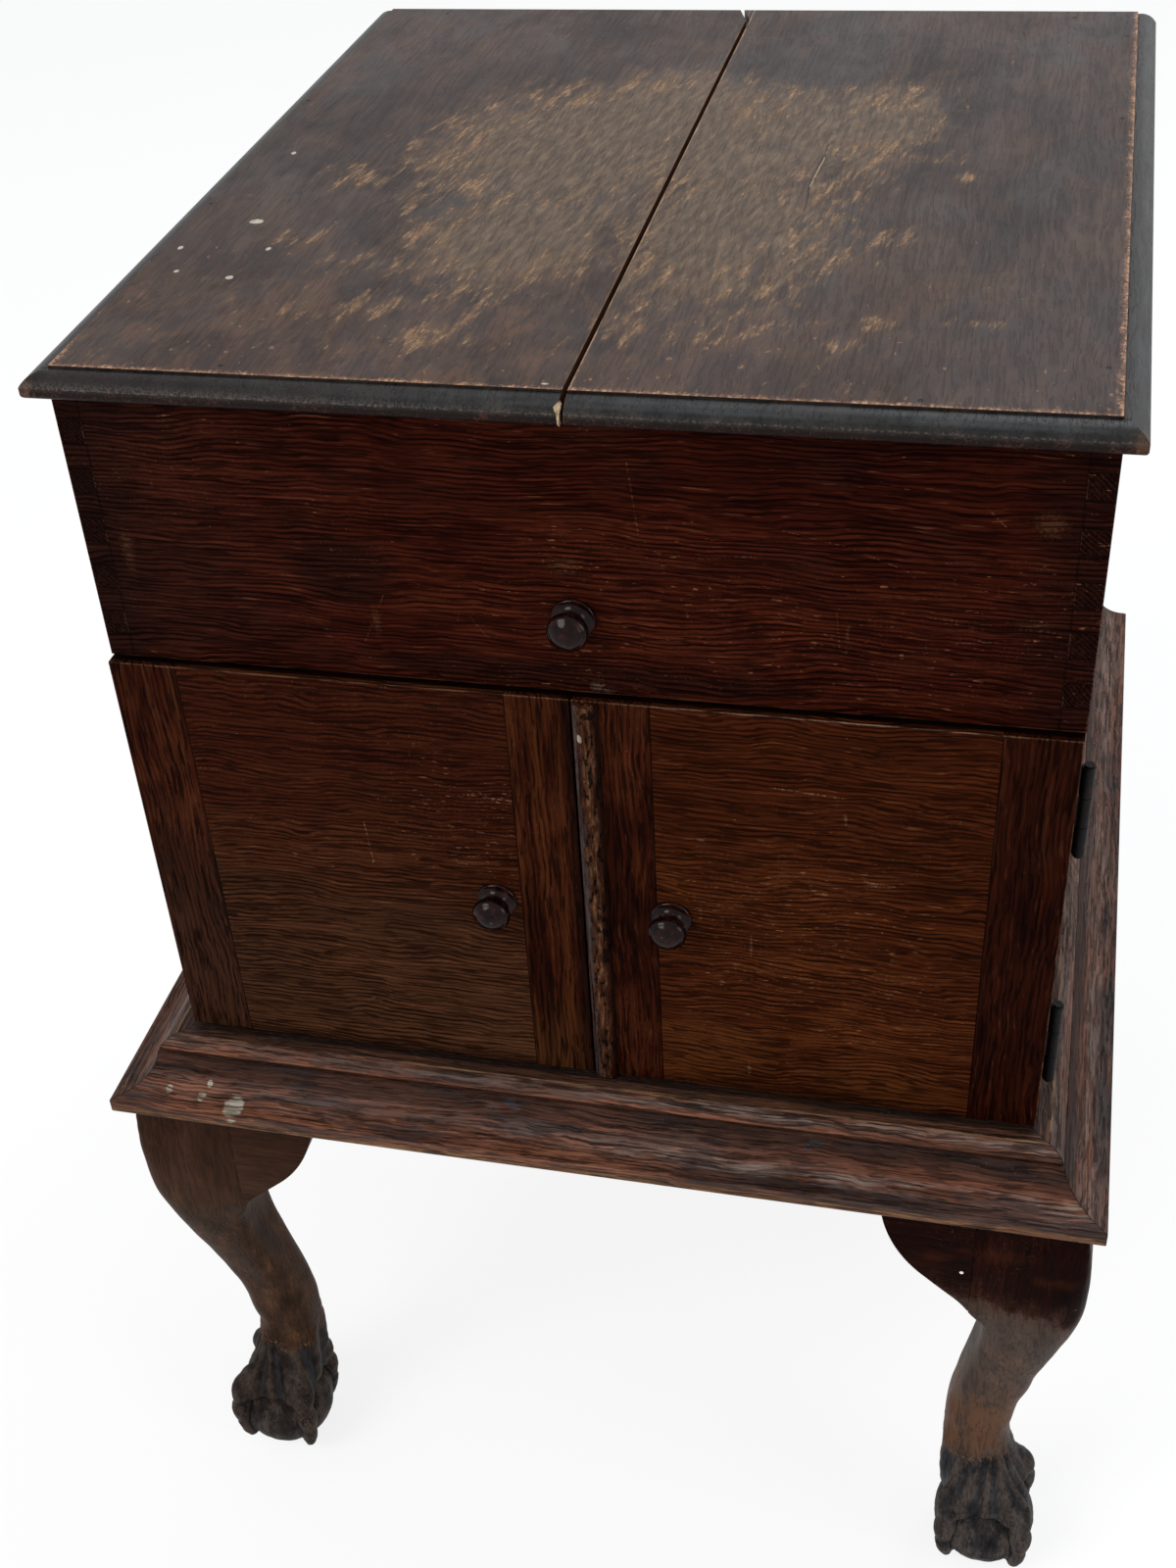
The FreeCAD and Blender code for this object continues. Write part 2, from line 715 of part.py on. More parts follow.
def make_leg():
    leg = body("leg_front_right_body")
    x = "post_centre_x"
    y = "post_centre_y"

    def level(name, outer, inner, corner, height):
        return rounded_leg_section(leg, name, x, y, outer, inner, corner, height)

    post = []
    for index, (drop, back) in enumerate(POST_SHARES):
        post.append(level(f"post_{index}", blend("knee_crown", "post_outer", back), "post_inner",
                          "post_round", f"stand_height - knee_crown_drop * {drop}"))
    post.append(level("post_foot", "knee_corner", "post_inner", "post_round", "knee_height"))
    loft(leg, "post_loft", post)
    knee = level("knee_section", "knee_corner", "post_inner", "post_round", "knee_height")
    notch = level("notch_section", "notch_outer", "notch_inner", "notch_round", "notch_height")
    loft(leg, "knee_loft", [knee, notch], True)

    shank = [level("shank_top", "notch_outer", "notch_inner", "notch_round", "notch_height")]
    for index, (rise, outer, inner, corner) in enumerate(SHANK_SHARES):
        shank.append(level(f"shank_{index}", blend("ankle_outer", "notch_outer", outer),
                           blend("ankle_inner", "notch_inner", inner),
                           blend("ankle_round", "notch_round", corner),
                           blend("ankle_height", "notch_height", rise)))
    shank.append(level("shank_foot", "ankle_outer", "ankle_inner", "ankle_round", "ankle_height"))
    loft(leg, "shank_loft", shank)

    web_outer = "web_half - foot_shift"
    web_inner = "web_half + foot_shift"
    web = [level("web_top", "ankle_outer", "ankle_inner", "ankle_round", "ankle_height")]
    for index, (rise, outer, inner, corner) in enumerate(WEB_SHARES):
        web.append(level(f"web_{index}", blend(web_outer, "ankle_outer", outer),
                         blend(web_inner, "ankle_inner", inner),
                         blend("web_round", "ankle_round", corner),
                         blend("web_height", "ankle_height", rise)))
    web.append(level("web_foot", web_outer, web_inner, "web_round", "web_height"))
    loft(leg, "web_loft", web)

    foot_x = "post_centre_x - foot_shift"
    foot_y = "post_centre_y + foot_shift"
    for face, role, across in (("side", "YZ_Plane", foot_y), ("front", "XZ_Plane", foot_x)):
        arch = sketch_on(leg, f"arch_{face}", role)
        circle(arch, across, "ball_centre + ball_radius * 0.13", "arch_radius")
        trim(leg, f"arch_{face}_cut", arch)

    ball = sketch_on(leg, "ball_profile", "XZ_Plane", f"-({foot_y})")
    flat = "sqrt(ball_radius * ball_radius - ball_centre * ball_centre)"
    outline(ball, [(foot_x, "0"), (f"{foot_x} + {flat}", "0"),
                   (f"{foot_x} + ball_radius", "ball_centre", "ball_radius", 1),
                   (foot_x, "ball_centre + ball_radius", "ball_radius", 1)])
    axis = ball.addGeometry(Part.LineSegment(V(number(foot_x), 0, 0), V(number(foot_x), 1, 0)), True)
    ball.addConstraint(Sketcher.Constraint("Coincident", axis, 1, 0, 1))
    ball.addConstraint(Sketcher.Constraint("Coincident", axis, 2, 3, 1))
    turned = leg.newObject("PartDesign::Revolution", "ball_turned")
    turned.Profile = ball
    turned.ReferenceAxis = (ball, ["Axis0"])
    turned.Angle = 360

    pull = "((ankle_inner - ankle_outer) / 2 - foot_shift)"
    corners = (("outer", 1, -1), ("front", -1, -1), ("side", 1, 1), ("inner", -1, 1))
    for name, turn_x, turn_y in corners:
        rings = []
        for index, (rise, reach, girth, drift) in enumerate(CLAW_SHARES):
            ring = sketch_on(leg, f"claw_{name}_{index}", "XY_Plane", f"ankle_height * {rise}")
            spot_x = f"{foot_x} + claw_reach * {reach * turn_x} - {pull} * {drift}"
            spot_y = f"{foot_y} + claw_reach * {reach * turn_y} + {pull} * {drift}"
            rings.append(circle(ring, spot_x, spot_y, f"claw_thick * {girth}"))
        loft(leg, f"claw_{name}", rings)
    name_part(leg, "leg_front_right")
    left = mirror(leg, "leg_front_left", V(1, 0, 0))
    mirror(leg, "leg_back_right", V(0, 1, 0))
    mirror(left, "leg_back_left", V(0, 1, 0))


def ear_outline(root, sign, turn):
    """The ear as seen square on: from the post outwards, and down along its curve to the joint."""
    def at(out, drop):
        return f"{sign}({root} - ({out}))", f"stand_height - ({drop})"
    return [at("0", "0"), at("ear_length", "0"),
            at("ear_rise_place", "ear_rise_drop") + ("ear_outer_radius", turn),
            at("ear_flat_place", "ear_flat_drop"),
            at("0", "ear_joint_drop") + ("ear_inner_radius", -turn)]


def ear_face_waste(face, outward, turn):
    """What is carved off the ear so that its face follows the bulge of the knee."""
    low = "stand_height - 2 * knee_crown_drop"
    return [(f"{face} {outward} 2 * overrun", "stand_height"), (face, "stand_height"),
            (face, low, "knee_radius", turn), (f"{face} {outward} 2 * overrun", low)]


def make_ears():
    length = "ear_thick + knee_crown - post_outer"
    ear = body("ear_front_right_body")
    face = sketch_on(ear, "ear_front_outline", "XZ_Plane", "post_outer - (post_centre_y) - ear_thick")
    outline(face, ear_outline("post_centre_x - post_inner", "", 1))
    pad(ear, "ear_front_pad", face, length)
    waste = sketch_on(ear, "ear_front_waste", "YZ_Plane")
    outline(waste, ear_face_waste("post_centre_y - post_outer", "-", 1))
    trim(ear, "ear_front_face", waste)
    name_part(ear, "ear_front_right")
    left = mirror(ear, "ear_front_left", V(1, 0, 0))
    mirror(ear, "ear_back_right", V(0, 1, 0))
    mirror(left, "ear_back_left", V(0, 1, 0))

    ear = body("ear_side_right_body")
    face = sketch_on(ear, "ear_side_outline", "YZ_Plane", "post_centre_x + post_outer - ear_thick")
    outline(face, ear_outline("-(post_centre_y) - post_inner", "-", -1))
    pad(ear, "ear_side_pad", face, length)
    waste = sketch_on(ear, "ear_side_waste", "XZ_Plane")
    outline(waste, ear_face_waste("post_centre_x + post_outer", "+", -1))
    trim(ear, "ear_side_face", waste)
    name_part(ear, "side_ear_front_right")
    left = mirror(ear, "side_ear_front_left", V(1, 0, 0))
    mirror(ear, "side_ear_back_right", V(0, 1, 0))
    mirror(left, "side_ear_back_left", V(0, 1, 0))


# Doors: a level-grained panel tongued between two upright stiles

def door_recess(name, low, side):
    x = ("door_edge - leaf_width + door_inset", "half_width + overrun")
    if side == "left":
        x = ("-half_width - overrun", "-(door_edge - leaf_width + door_inset)")
    return box(name, x, ("door_back - leaf_let_in", "door_back + overrun"), (low, f"{low} + leaf_height"))


def make_door(side):
    """side is right or left. Everything is written for the right and signed for the left."""
    def span(low, high):
        return (low, high) if side == "right" else (f"-({high})", f"-({low})")

    thick = ("door_front", "door_back")
    tall = ("door_floor", "door_top")
    meeting_in = "meeting_gap / 2"
    meeting_out = f"{side}_meeting_stile + meeting_gap / 2"
    hinge_in = "door_edge - hinge_stile"
    tongue = ("door_middle - tongue_thick / 2", "door_middle + tongue_thick / 2")
    groove = ("door_middle - tongue_thick / 2 - tongue_play", "door_middle + tongue_thick / 2 + tongue_play")
    through = ("door_floor - overrun", "door_top + overrun")

    field = box(f"{side}_field", span(meeting_out, hinge_in), thick, tall)
    inner = box(f"{side}_inner_tongue", span(f"{meeting_out} - tongue_length", meeting_out), tongue, tall)
    outer = box(f"{side}_outer_tongue", span(hinge_in, f"{hinge_in} + tongue_length"), tongue, tall)
    socket = rod(f"{side}_knob_socket", "y", span("door_knob_offset", "door_knob_offset")[0],
                 "door_front - overrun", "door_floor + door_knob_rise", "spigot_radius + fit_play",
                 "overrun + spigot_length + fit_play")
    board = fuse(f"{side}_panel", [field, inner, outer])
    name_part(cut(f"{side}_panel_cut", board, [socket]), f"{side}_door_panel")

    blank = box(f"{side}_hinge_blank", span(hinge_in, "door_edge"), thick, tall)
    slot = box(f"{side}_hinge_groove", span(f"{hinge_in} - overrun", f"{hinge_in} + tongue_length + tongue_play"),
               groove, through)
    recesses = [door_recess(f"{side}_upper_door_recess", "upper_leaf_floor", side),
                door_recess(f"{side}_lower_door_recess", "lower_leaf_floor", side)]
    name_part(cut(f"{side}_hinge_cut", blank, [slot] + recesses), f"{side}_door_hinge_stile")

    blank = box(f"{side}_meeting_blank", span(meeting_in, meeting_out), thick, tall)
    slot = box(f"{side}_meeting_groove",
               span(f"{meeting_out} - tongue_length - tongue_play", f"{meeting_out} + overrun"), groove, through)
    strike_x = span("catch_place - strike_width / 2", "catch_place + strike_width / 2")
    strike_z = ("case_top - rail_height / 2 - strike_height / 2", "case_top - rail_height / 2 + strike_height / 2")
    seat = box(f"{side}_strike_seat", strike_x, ("door_back - strike_thick", "door_back + overrun"), strike_z)
    pit = rod(f"{side}_strike_pit", "y", span("catch_place", "catch_place")[0],
              "door_back - strike_thick - catch_proud", "case_top - rail_height / 2", "strike_hole",
              "catch_proud + overrun")
    name_part(cut(f"{side}_meeting_cut", blank, [slot, seat, pit]), f"{side}_door_meeting_stile")

    plate = box(f"{side}_strike_blank", strike_x, ("door_back - strike_thick", "door_back"), strike_z)
    hole = rod(f"{side}_strike_hole", "y", span("catch_place", "catch_place")[0],
               "door_back - strike_thick - overrun", "case_top - rail_height / 2", "strike_hole",
               "strike_thick + 2 * overrun")
    name_part(cut(f"{side}_strike_cut", plate, [hole]), f"{side}_door_strike")


def make_meeting_bead():
    strip = body("meeting_bead_body")
    plan = sketch_on(strip, "meeting_bead_plan", "XY_Plane", "door_floor")
    start = "meeting_gap / 2"
    outline(plan, [(start, "door_front"),
                   (f"{start} + bead_strip_width / 2", "door_front - bead_strip_proud", "bead_strip_width * 0.55", 1),
                   (f"{start} + bead_strip_width", "door_front", "bead_strip_width * 0.55", 1)])
    pad(strip, "meeting_bead_pad", plan, "door_height - bead_strip_short")
    name_part(strip, "right_door_meeting_bead")


# Butt hinges of the doors

def make_door_hinges():
    """Built on the right and mirrored. Each node holds the upper and the lower piece."""
    case_leaves = []
    door_leaves = []
    pins = []
    for row, low in (("upper", "upper_leaf_floor"), ("lower", "lower_leaf_floor")):
        inner_x = "hinge_x - barrel_out - leaf_width"
        bore = rod(f"{row}_bore", "z", "hinge_x", "hinge_y", f"{low} - overrun", "pin_radius + fit_play",
                   "leaf_height + 2 * overrun")
        sweep = "barrel_radius + knuckle_gap"
        gap_case = box(f"{row}_case_gap", (f"hinge_x - ({sweep})", f"hinge_x + {sweep}"),
                       (f"hinge_y - ({sweep})", f"hinge_y + {sweep}"),
                       (f"{low} + knuckle - knuckle_gap / 2", f"{low} + 2 * (knuckle) + knuckle_gap / 2"))
        plate = box(f"{row}_case_plate", (inner_x, "hinge_x"),
                    ("case_front + leaf_let_in - leaf_thick", "case_front + leaf_let_in"), (low, f"{low} + leaf_height"))
        barrel = rod(f"{row}_case_barrel", "z", "hinge_x", "hinge_y", low, "barrel_radius", "leaf_height")
        joined = fuse(f"{row}_case_joined", [plate, barrel])
        case_leaves.append(cut(f"{row}_case_leaf", joined, [gap_case, bore]))

        plate = box(f"{row}_door_plate", (inner_x, "hinge_x"),
                    ("door_back - leaf_let_in", "door_back - leaf_let_in + leaf_thick"), (low, f"{low} + leaf_height"))
        below = box(f"{row}_door_below", (f"hinge_x - ({sweep})", f"hinge_x + {sweep}"),
                    (f"hinge_y - ({sweep})", f"hinge_y + {sweep}"),
                    (f"{low} - overrun", f"{low} + knuckle + knuckle_gap / 2"))
        above = box(f"{row}_door_above", (f"hinge_x - ({sweep})", f"hinge_x + {sweep}"),
                    (f"hinge_y - ({sweep})", f"hinge_y + {sweep}"),
                    (f"{low} + 2 * (knuckle) - knuckle_gap / 2", f"{low} + leaf_height + overrun"))
        barrel = rod(f"{row}_door_barrel", "z", "hinge_x", "hinge_y", low, "barrel_radius", "leaf_height")
        joined = fuse(f"{row}_door_joined", [plate, barrel])
        door_leaves.append(cut(f"{row}_door_leaf", joined, [below, above, bore]))

        shaft = rod(f"{row}_shaft", "z", "hinge_x", "hinge_y", f"{low} - pin_head", "pin_radius",
                    "leaf_height + 2 * pin_head")
        foot = rod(f"{row}_pin_foot", "z", "hinge_x", "hinge_y", f"{low} - pin_head", "pin_head_radius", "pin_head")
        head = rod(f"{row}_pin_head", "z", "hinge_x", "hinge_y", f"{low} + leaf_height", "pin_head_radius", "pin_head")
        pins.append(fuse(f"{row}_pin", [shaft, foot, head]))

    for label, pieces in (("door_case_leaves", case_leaves), ("door_leaves", door_leaves), ("door_hinge_pins", pins)):
        group = doc.addObject("Part::Compound", "right_" + label + "_group")
        group.Links = pieces
        name_part(group, "right_" + label)
        mirror(group, "left_" + label, V(1, 0, 0))


# Butt hinges of the hood, on the outside of the back

def make_hood_hinges():
    case_leaves = []
    hood_leaves = []
    pins = []
    for side, sign in (("right", ""), ("left", "-")):
        low = f"{sign}hood_hinge_place - hood_leaf_width / 2"
        high = f"{low} + hood_leaf_width"
        skin = ("hood_back", "hood_back + hood_leaf_thick")
        sweep = "barrel_radius + knuckle_gap"
        around = (f"hood_axis_y - ({sweep})", f"hood_axis_y + {sweep}")
        tall = (f"hood_axis_z - ({sweep})", f"hood_axis_z + {sweep}")
        bore = rod(f"{side}_hood_bore", "x", f"{low} - overrun", "hood_axis_y", "hood_axis_z",
                   "pin_radius + fit_play", "hood_leaf_width + 2 * overrun")
        cells = []
        for index in range(5):
            start = f"{low} + hood_knuckle * {index} - knuckle_gap / 2"
            end = f"{low} + hood_knuckle * {index + 1} + knuckle_gap / 2"
            cells.append(box(f"{side}_hood_cell_{index}", (start, end), around, tall))
        spans = (("case", (low, high), ("hood_axis_z - hood_leaf_height", "hood_axis_z"), cells[1::2], case_leaves),
                 ("lid", (low, high), ("hood_axis_z", "hood_axis_z + hood_leaf_height"), cells[0::2], hood_leaves))
        for owner, x, z, gaps, group in spans:
            plate = box(f"{side}_{owner}_hinge_plate", x, skin, z)
            barrel = rod(f"{side}_{owner}_hinge_barrel", "x", low, "hood_axis_y", "hood_axis_z", "barrel_radius",
                         "hood_leaf_width")
            joined = fuse(f"{side}_{owner}_hinge_joined", [plate, barrel])
            group.append(cut(f"{side}_{owner}_hinge_cut", joined, gaps + [bore]))
        shaft = rod(f"{side}_hood_shaft", "x", f"{low} - pin_head", "hood_axis_y", "hood_axis_z", "pin_radius",
                    "hood_leaf_width + 2 * pin_head")
        ends = [rod(f"{side}_hood_pin_start", "x", f"{low} - pin_head", "hood_axis_y", "hood_axis_z",
                    "pin_head_radius", "pin_head"),
                rod(f"{side}_hood_pin_end", "x", high, "hood_axis_y", "hood_axis_z", "pin_head_radius", "pin_head")]
        pins.append(fuse(f"{side}_hood_pin", [shaft] + ends))
    groups = (("case_hinge_leaves", case_leaves), ("hood_hinge_leaves", hood_leaves), ("hood_hinge_pins", pins))
    for label, pieces in groups:
        group = doc.addObject("Part::Compound", label + "_group")
        group.Links = pieces
        name_part(group, label)


# Quadrant on the hood, sliding through a guide on the case, that stays the open hood

def make_quadrant():
    bar = body("lid_quadrant_body")
    face = sketch_on(bar, "quadrant_outline", "YZ_Plane", "quadrant_face - quadrant_thick")

    def at(radius, angle):
        return (f"hood_axis_y - ({radius}) * cos({angle} * 1 deg)",
                f"hood_axis_z + ({radius}) * sin({angle} * 1 deg)")

    wide = "quadrant_radius + quadrant_width / 2"
    near = "quadrant_radius - quadrant_width / 2"
    middle = "(quadrant_top_angle - quadrant_end_angle) / 2"
    outline(face, [at(near, "quadrant_top_angle") + (near, -1),
                   at(wide, "quadrant_top_angle"),
                   at(wide, middle) + (wide, 1),
                   at(wide, "-quadrant_end_angle") + (wide, 1),
                   at(near, "-quadrant_end_angle"),
                   at(near, middle) + (near, -1)])
    pad(bar, "quadrant_pad", face, "quadrant_thick")

    foot = sketch_on(bar, "quadrant_foot", "YZ_Plane", "quadrant_face")
    start = "hood_axis_y - quadrant_radius - quadrant_plate_length / 2"
    outline(foot, [(start, "plate_floor"), (f"{start} + quadrant_plate_length", "plate_floor"),
                   (f"{start} + quadrant_plate_length", "plate_floor + quadrant_plate_height"),
                   (start, "plate_floor + quadrant_plate_height")])
    pad(bar, "quadrant_foot_pad", foot, "quadrant_plate")

    peg = sketch_on(bar, "quadrant_stop", "YZ_Plane", "quadrant_face - quadrant_thick - stop_length")
    peg_y, peg_z = at("quadrant_radius", "-stop_angle")
    circle(peg, peg_y, peg_z, "stop_radius")
    pad(bar, "quadrant_stop_pad", peg, "stop_length")
    name_part(bar, "lid_quadrant")


def make_quadrant_guide():
    def back(radius, drop):
        return f"hood_axis_y - sqrt(({radius}) * ({radius}) - ({drop}) * ({drop}))"

    low = "guide_drop + guide_height"
    wide = "quadrant_radius + quadrant_width / 2 + guide_play"
    near = "quadrant_radius - quadrant_width / 2 - guide_play"
    tall = (f"hood_axis_z - ({low})", "hood_axis_z - guide_drop")
    bridge_x = "quadrant_face - quadrant_thick - guide_play"
    front_face = f"hood_axis_y - ({wide})"
    rear_face = back(near, low)
    front = box("guide_front", (bridge_x, "case_inside"), (f"{front_face} - guide_wall", front_face), tall)
    rear = box("guide_rear", (bridge_x, "case_inside"), (rear_face, f"{rear_face} + guide_wall"), tall)
    bridge = box("guide_bridge", (f"{bridge_x} - guide_wall / 2", bridge_x),
                 (f"{front_face} - guide_wall", f"{rear_face} + guide_wall"), tall)
    name_part(fuse("guide", [front, rear, bridge]), "quadrant_guide")


# Bullet catches in the top rail

def make_catch(label, x):
    catch = body(label + "_body")
    half = sketch_on(catch, label + "_profile", "XZ_Plane")
    mouth = "sqrt(catch_ball * catch_ball - (catch_ball - catch_proud) * (catch_ball - catch_proud))"
    outline(half, [("0", "-catch_depth"), ("catch_radius", "-catch_depth"), ("catch_radius", "0"),
                   (mouth, "0"), ("0", "catch_proud", "catch_ball", 1)])
    turned = catch.newObject("PartDesign::Revolution", label + "_turned")
    turned.Profile = half
    turned.ReferenceAxis = (half, ["V_Axis"])
    turned.Angle = 360
    catch.Placement = FreeCAD.Placement(V(), FreeCAD.Rotation(V(1, 0, 0), 90))
    place(catch, x, "case_front", "case_top - rail_height / 2")
    name_part(catch, label)


make_hood()
make_lid_board("lid_right_board", "lid_half", "+ ")
make_lid_board("lid_left_board", "-(lid_half)", "- ")
make_knob("hood_knob", "hood_knob_offset", "hood_front", "hood_floor + hood_knob_rise")
make_case()
make_stand()
make_bead()
make_leg()
make_ears()
make_door("right")
make_door("left")
make_meeting_bead()
make_knob("right_door_knob", "door_knob_offset", "door_front", "door_floor + door_knob_rise")
make_knob("left_door_knob", "-door_knob_offset", "door_front", "door_floor + door_knob_rise")
make_door_hinges()
make_hood_hinges()
make_quadrant()
make_quadrant_guide()
make_catch("right_catch", "catch_place")
make_catch("left_catch", "-catch_place")
doc.recompute()


def troubled():
    return [item for item in doc.Objects if "Invalid" in item.State or "Error" in item.State]


# A sketch that the solver gave up on is solved once more
for item in troubled():
    item.touch()
doc.recompute()
if troubled():
    raise RuntimeError("failed: " + ", ".join(item.Name for item in troubled()))
for piece in parts:
    if piece.Shape.isNull() or not piece.Shape.isValid():
        raise RuntimeError(piece.Label + " has no valid shape")

os.makedirs("parts", exist_ok=True)
for piece in parts:
    piece.Shape.exportStep(f"parts/{piece.Label}.step")
print(len(parts), "pieces")
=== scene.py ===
import math

import bmesh
import bpy
import numpy as np
from mathutils import Matrix, Vector, noise


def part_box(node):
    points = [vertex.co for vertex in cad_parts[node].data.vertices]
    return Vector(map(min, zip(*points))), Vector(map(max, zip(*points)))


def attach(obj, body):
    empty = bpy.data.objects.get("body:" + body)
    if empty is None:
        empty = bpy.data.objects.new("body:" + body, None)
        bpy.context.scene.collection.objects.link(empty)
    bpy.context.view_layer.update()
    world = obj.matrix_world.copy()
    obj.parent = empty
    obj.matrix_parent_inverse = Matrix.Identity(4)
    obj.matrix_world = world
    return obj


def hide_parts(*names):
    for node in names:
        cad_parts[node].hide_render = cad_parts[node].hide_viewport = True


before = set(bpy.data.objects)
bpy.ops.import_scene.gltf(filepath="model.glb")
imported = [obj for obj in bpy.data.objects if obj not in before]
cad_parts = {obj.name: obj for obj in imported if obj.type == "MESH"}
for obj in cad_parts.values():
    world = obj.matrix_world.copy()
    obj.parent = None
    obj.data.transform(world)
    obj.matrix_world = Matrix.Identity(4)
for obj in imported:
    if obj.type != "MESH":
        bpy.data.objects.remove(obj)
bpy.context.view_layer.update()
MM = 0.001


# Nodes of one material or world

class Nodes:
    def __init__(self, owner):
        owner.use_nodes = True
        self.tree = owner.node_tree
        self.tree.nodes.clear()

    def add(self, kind, **settings):
        node = self.tree.nodes.new(kind)
        for key, value in settings.items():
            setattr(node, key, value)
        return node

    def put(self, socket, value):
        if isinstance(value, bpy.types.NodeSocket):
            self.tree.links.new(value, socket)
        elif isinstance(value, (tuple, list)) and len(value) == 3 and len(socket.default_value) == 4:
            socket.default_value = (*value, 1)
        else:
            socket.default_value = value

    def math(self, kind, one, two=0, three=None, clamp=False):
        node = self.add("ShaderNodeMath", operation=kind, use_clamp=clamp)
        self.put(node.inputs[0], one)
        self.put(node.inputs[1], two)
        if three is not None:
            self.put(node.inputs[2], three)
        return node.outputs[0]

    def chain(self, kind, first, others):
        for other in others:
            first = self.math(kind, first, other)
        return first

    def times(self, first, *others):
        return self.chain("MULTIPLY", first, others)

    def plus(self, first, *others):
        return self.chain("ADD", first, others)

    def less(self, one, two):
        return self.math("SUBTRACT", one, two)

    def most(self, one, two):
        return self.math("MAXIMUM", one, two)

    def least(self, one, two):
        return self.math("MINIMUM", one, two)

    def size(self, value):
        return self.math("ABSOLUTE", value)

    def blend(self, one, two, share):
        return self.plus(self.times(one, share), self.times(two, 1 - share))

    def swing(self, noise, reach, middle=0.5):
        """A noise about its middle value, as wide as the reach."""
        return self.times(self.less(noise, middle), reach)

    def stray(self, value, noise, reach, middle=0.5):
        return self.plus(value, self.swing(noise, reach, middle))

    def vector(self, kind, one, two=(0, 0, 0)):
        node = self.add("ShaderNodeVectorMath", operation=kind)
        self.put(node.inputs[0], one)
        if kind == "SCALE":
            self.put(node.inputs["Scale"], two)
        else:
            self.put(node.inputs[1], two)
        return node.outputs["Value" if kind in ("LENGTH", "DISTANCE", "DOT_PRODUCT") else "Vector"]

    def split(self, value):
        node = self.add("ShaderNodeSeparateXYZ")
        self.put(node.inputs[0], value)
        return node.outputs[0], node.outputs[1], node.outputs[2]

    def join(self, x, y, z):
        node = self.add("ShaderNodeCombineXYZ")
        for socket, value in zip(node.inputs, (x, y, z)):
            self.put(socket, value)
        return node.outputs[0]

    def noise(self, place, scale, detail, rough, warp=0):
        node = self.add("ShaderNodeTexNoise")
        self.put(node.inputs["Vector"], place)
        for key, value in (("Scale", scale), ("Detail", detail), ("Roughness", rough), ("Distortion", warp)):
            node.inputs[key].default_value = value
        return node.outputs["Fac"]

    def ramp(self, value, stops):
        node = self.add("ShaderNodeValToRGB")
        self.put(node.inputs[0], value)
        steps = node.color_ramp.elements
        while len(steps) < len(stops):
            steps.new(0.5)
        for step, (place, colour) in zip(steps, stops):
            step.position = place
            step.color = (*colour, 1)
        return node.outputs[0]

    def span(self, value, low, high, start=0, end=1):
        node = self.add("ShaderNodeMapRange", interpolation_type="SMOOTHSTEP")
        for socket, item in zip(node.inputs[:5], (value, low, high, start, end)):
            self.put(socket, item)
        return node.outputs[0]

    def mix(self, share, one, two, kind="MIX"):
        node = self.add("ShaderNodeMix", data_type="RGBA", blend_type=kind)
        self.put(node.inputs[0], share)
        self.put(node.inputs[6], one)
        self.put(node.inputs[7], two)
        return node.outputs[2]

    def seen_straight(self):
        """1 for rays that see the backdrop itself: from the camera, by a mirror or through glass."""
        paths = self.add("ShaderNodeLightPath").outputs
        bounced = self.most(paths["Is Glossy Ray"], paths["Is Transmission Ray"])
        return self.most(paths["Is Camera Ray"], bounced)


# Nodes of one material; mm is the plain position

class Graph(Nodes):
    def __init__(self, name):
        self.material = bpy.data.materials.new(name)
        super().__init__(self.material)
        self.out = self.add("ShaderNodeOutputMaterial")
        self.shader = self.add("ShaderNodeBsdfPrincipled")
        self.put(self.out.inputs[0], self.shader.outputs[0])
        self.mm = self.vector("SCALE", self.add("ShaderNodeTexCoord").outputs["Object"], 1000)

    def pattern(self, scale, detail, rough=0.5, warp=0, place=None):
        """Noise over the plain position, or another one, scaled apart along x, y and z."""
        place = self.mm if place is None else place
        return self.noise(self.vector("MULTIPLY", place, scale), 1, detail, rough, warp)

    def blobs(self, rows, ragged=None, reach=0.5):
        """How far inside the nearest of some ellipsoids a point is: 1 at a centre, 0 at a skin."""
        best = None
        for centre, radii in rows:
            off = self.vector("SUBTRACT", self.mm, centre)
            off = self.vector("MULTIPLY", off, tuple(1 / size for size in radii))
            near = self.less(1, self.vector("LENGTH", off))
            best = near if best is None else self.most(best, near)
        if ragged is not None:
            best = self.stray(best, ragged, reach)
        return best

    def lines(self, rows, shift=None):
        """Distance in mm to the nearest of some straight runs, which a shift moves along x."""
        place = self.mm if shift is None else self.vector("ADD", self.mm, self.join(shift, 0, 0))
        best = None
        for start, end in rows:
            run = tuple(two - one for one, two in zip(start, end))
            off = self.vector("SUBTRACT", place, start)
            length = sum(step * step for step in run)
            share = self.math("DIVIDE", self.vector("DOT_PRODUCT", off, run), length, clamp=True)
            near = self.vector("DISTANCE", off, self.vector("SCALE", run, share))
            best = near if best is None else self.least(best, near)
        return best

    def finish(self, colour, rough, height=None, depth=0.0005, **fixed):
        self.put(self.shader.inputs["Base Color"], colour)
        self.put(self.shader.inputs["Roughness"], rough)
        if height is not None:
            bump = self.add("ShaderNodeBump")
            bump.inputs["Distance"].default_value = depth
            self.put(bump.inputs["Height"], height)
            self.put(self.shader.inputs["Normal"], bump.outputs[0])
        for key, value in fixed.items():
            self.shader.inputs[key.replace("_", " ")].default_value = value
        return self.material


# Stained oak. place and straight are in mm with the fibres along x, and place sways as grain does

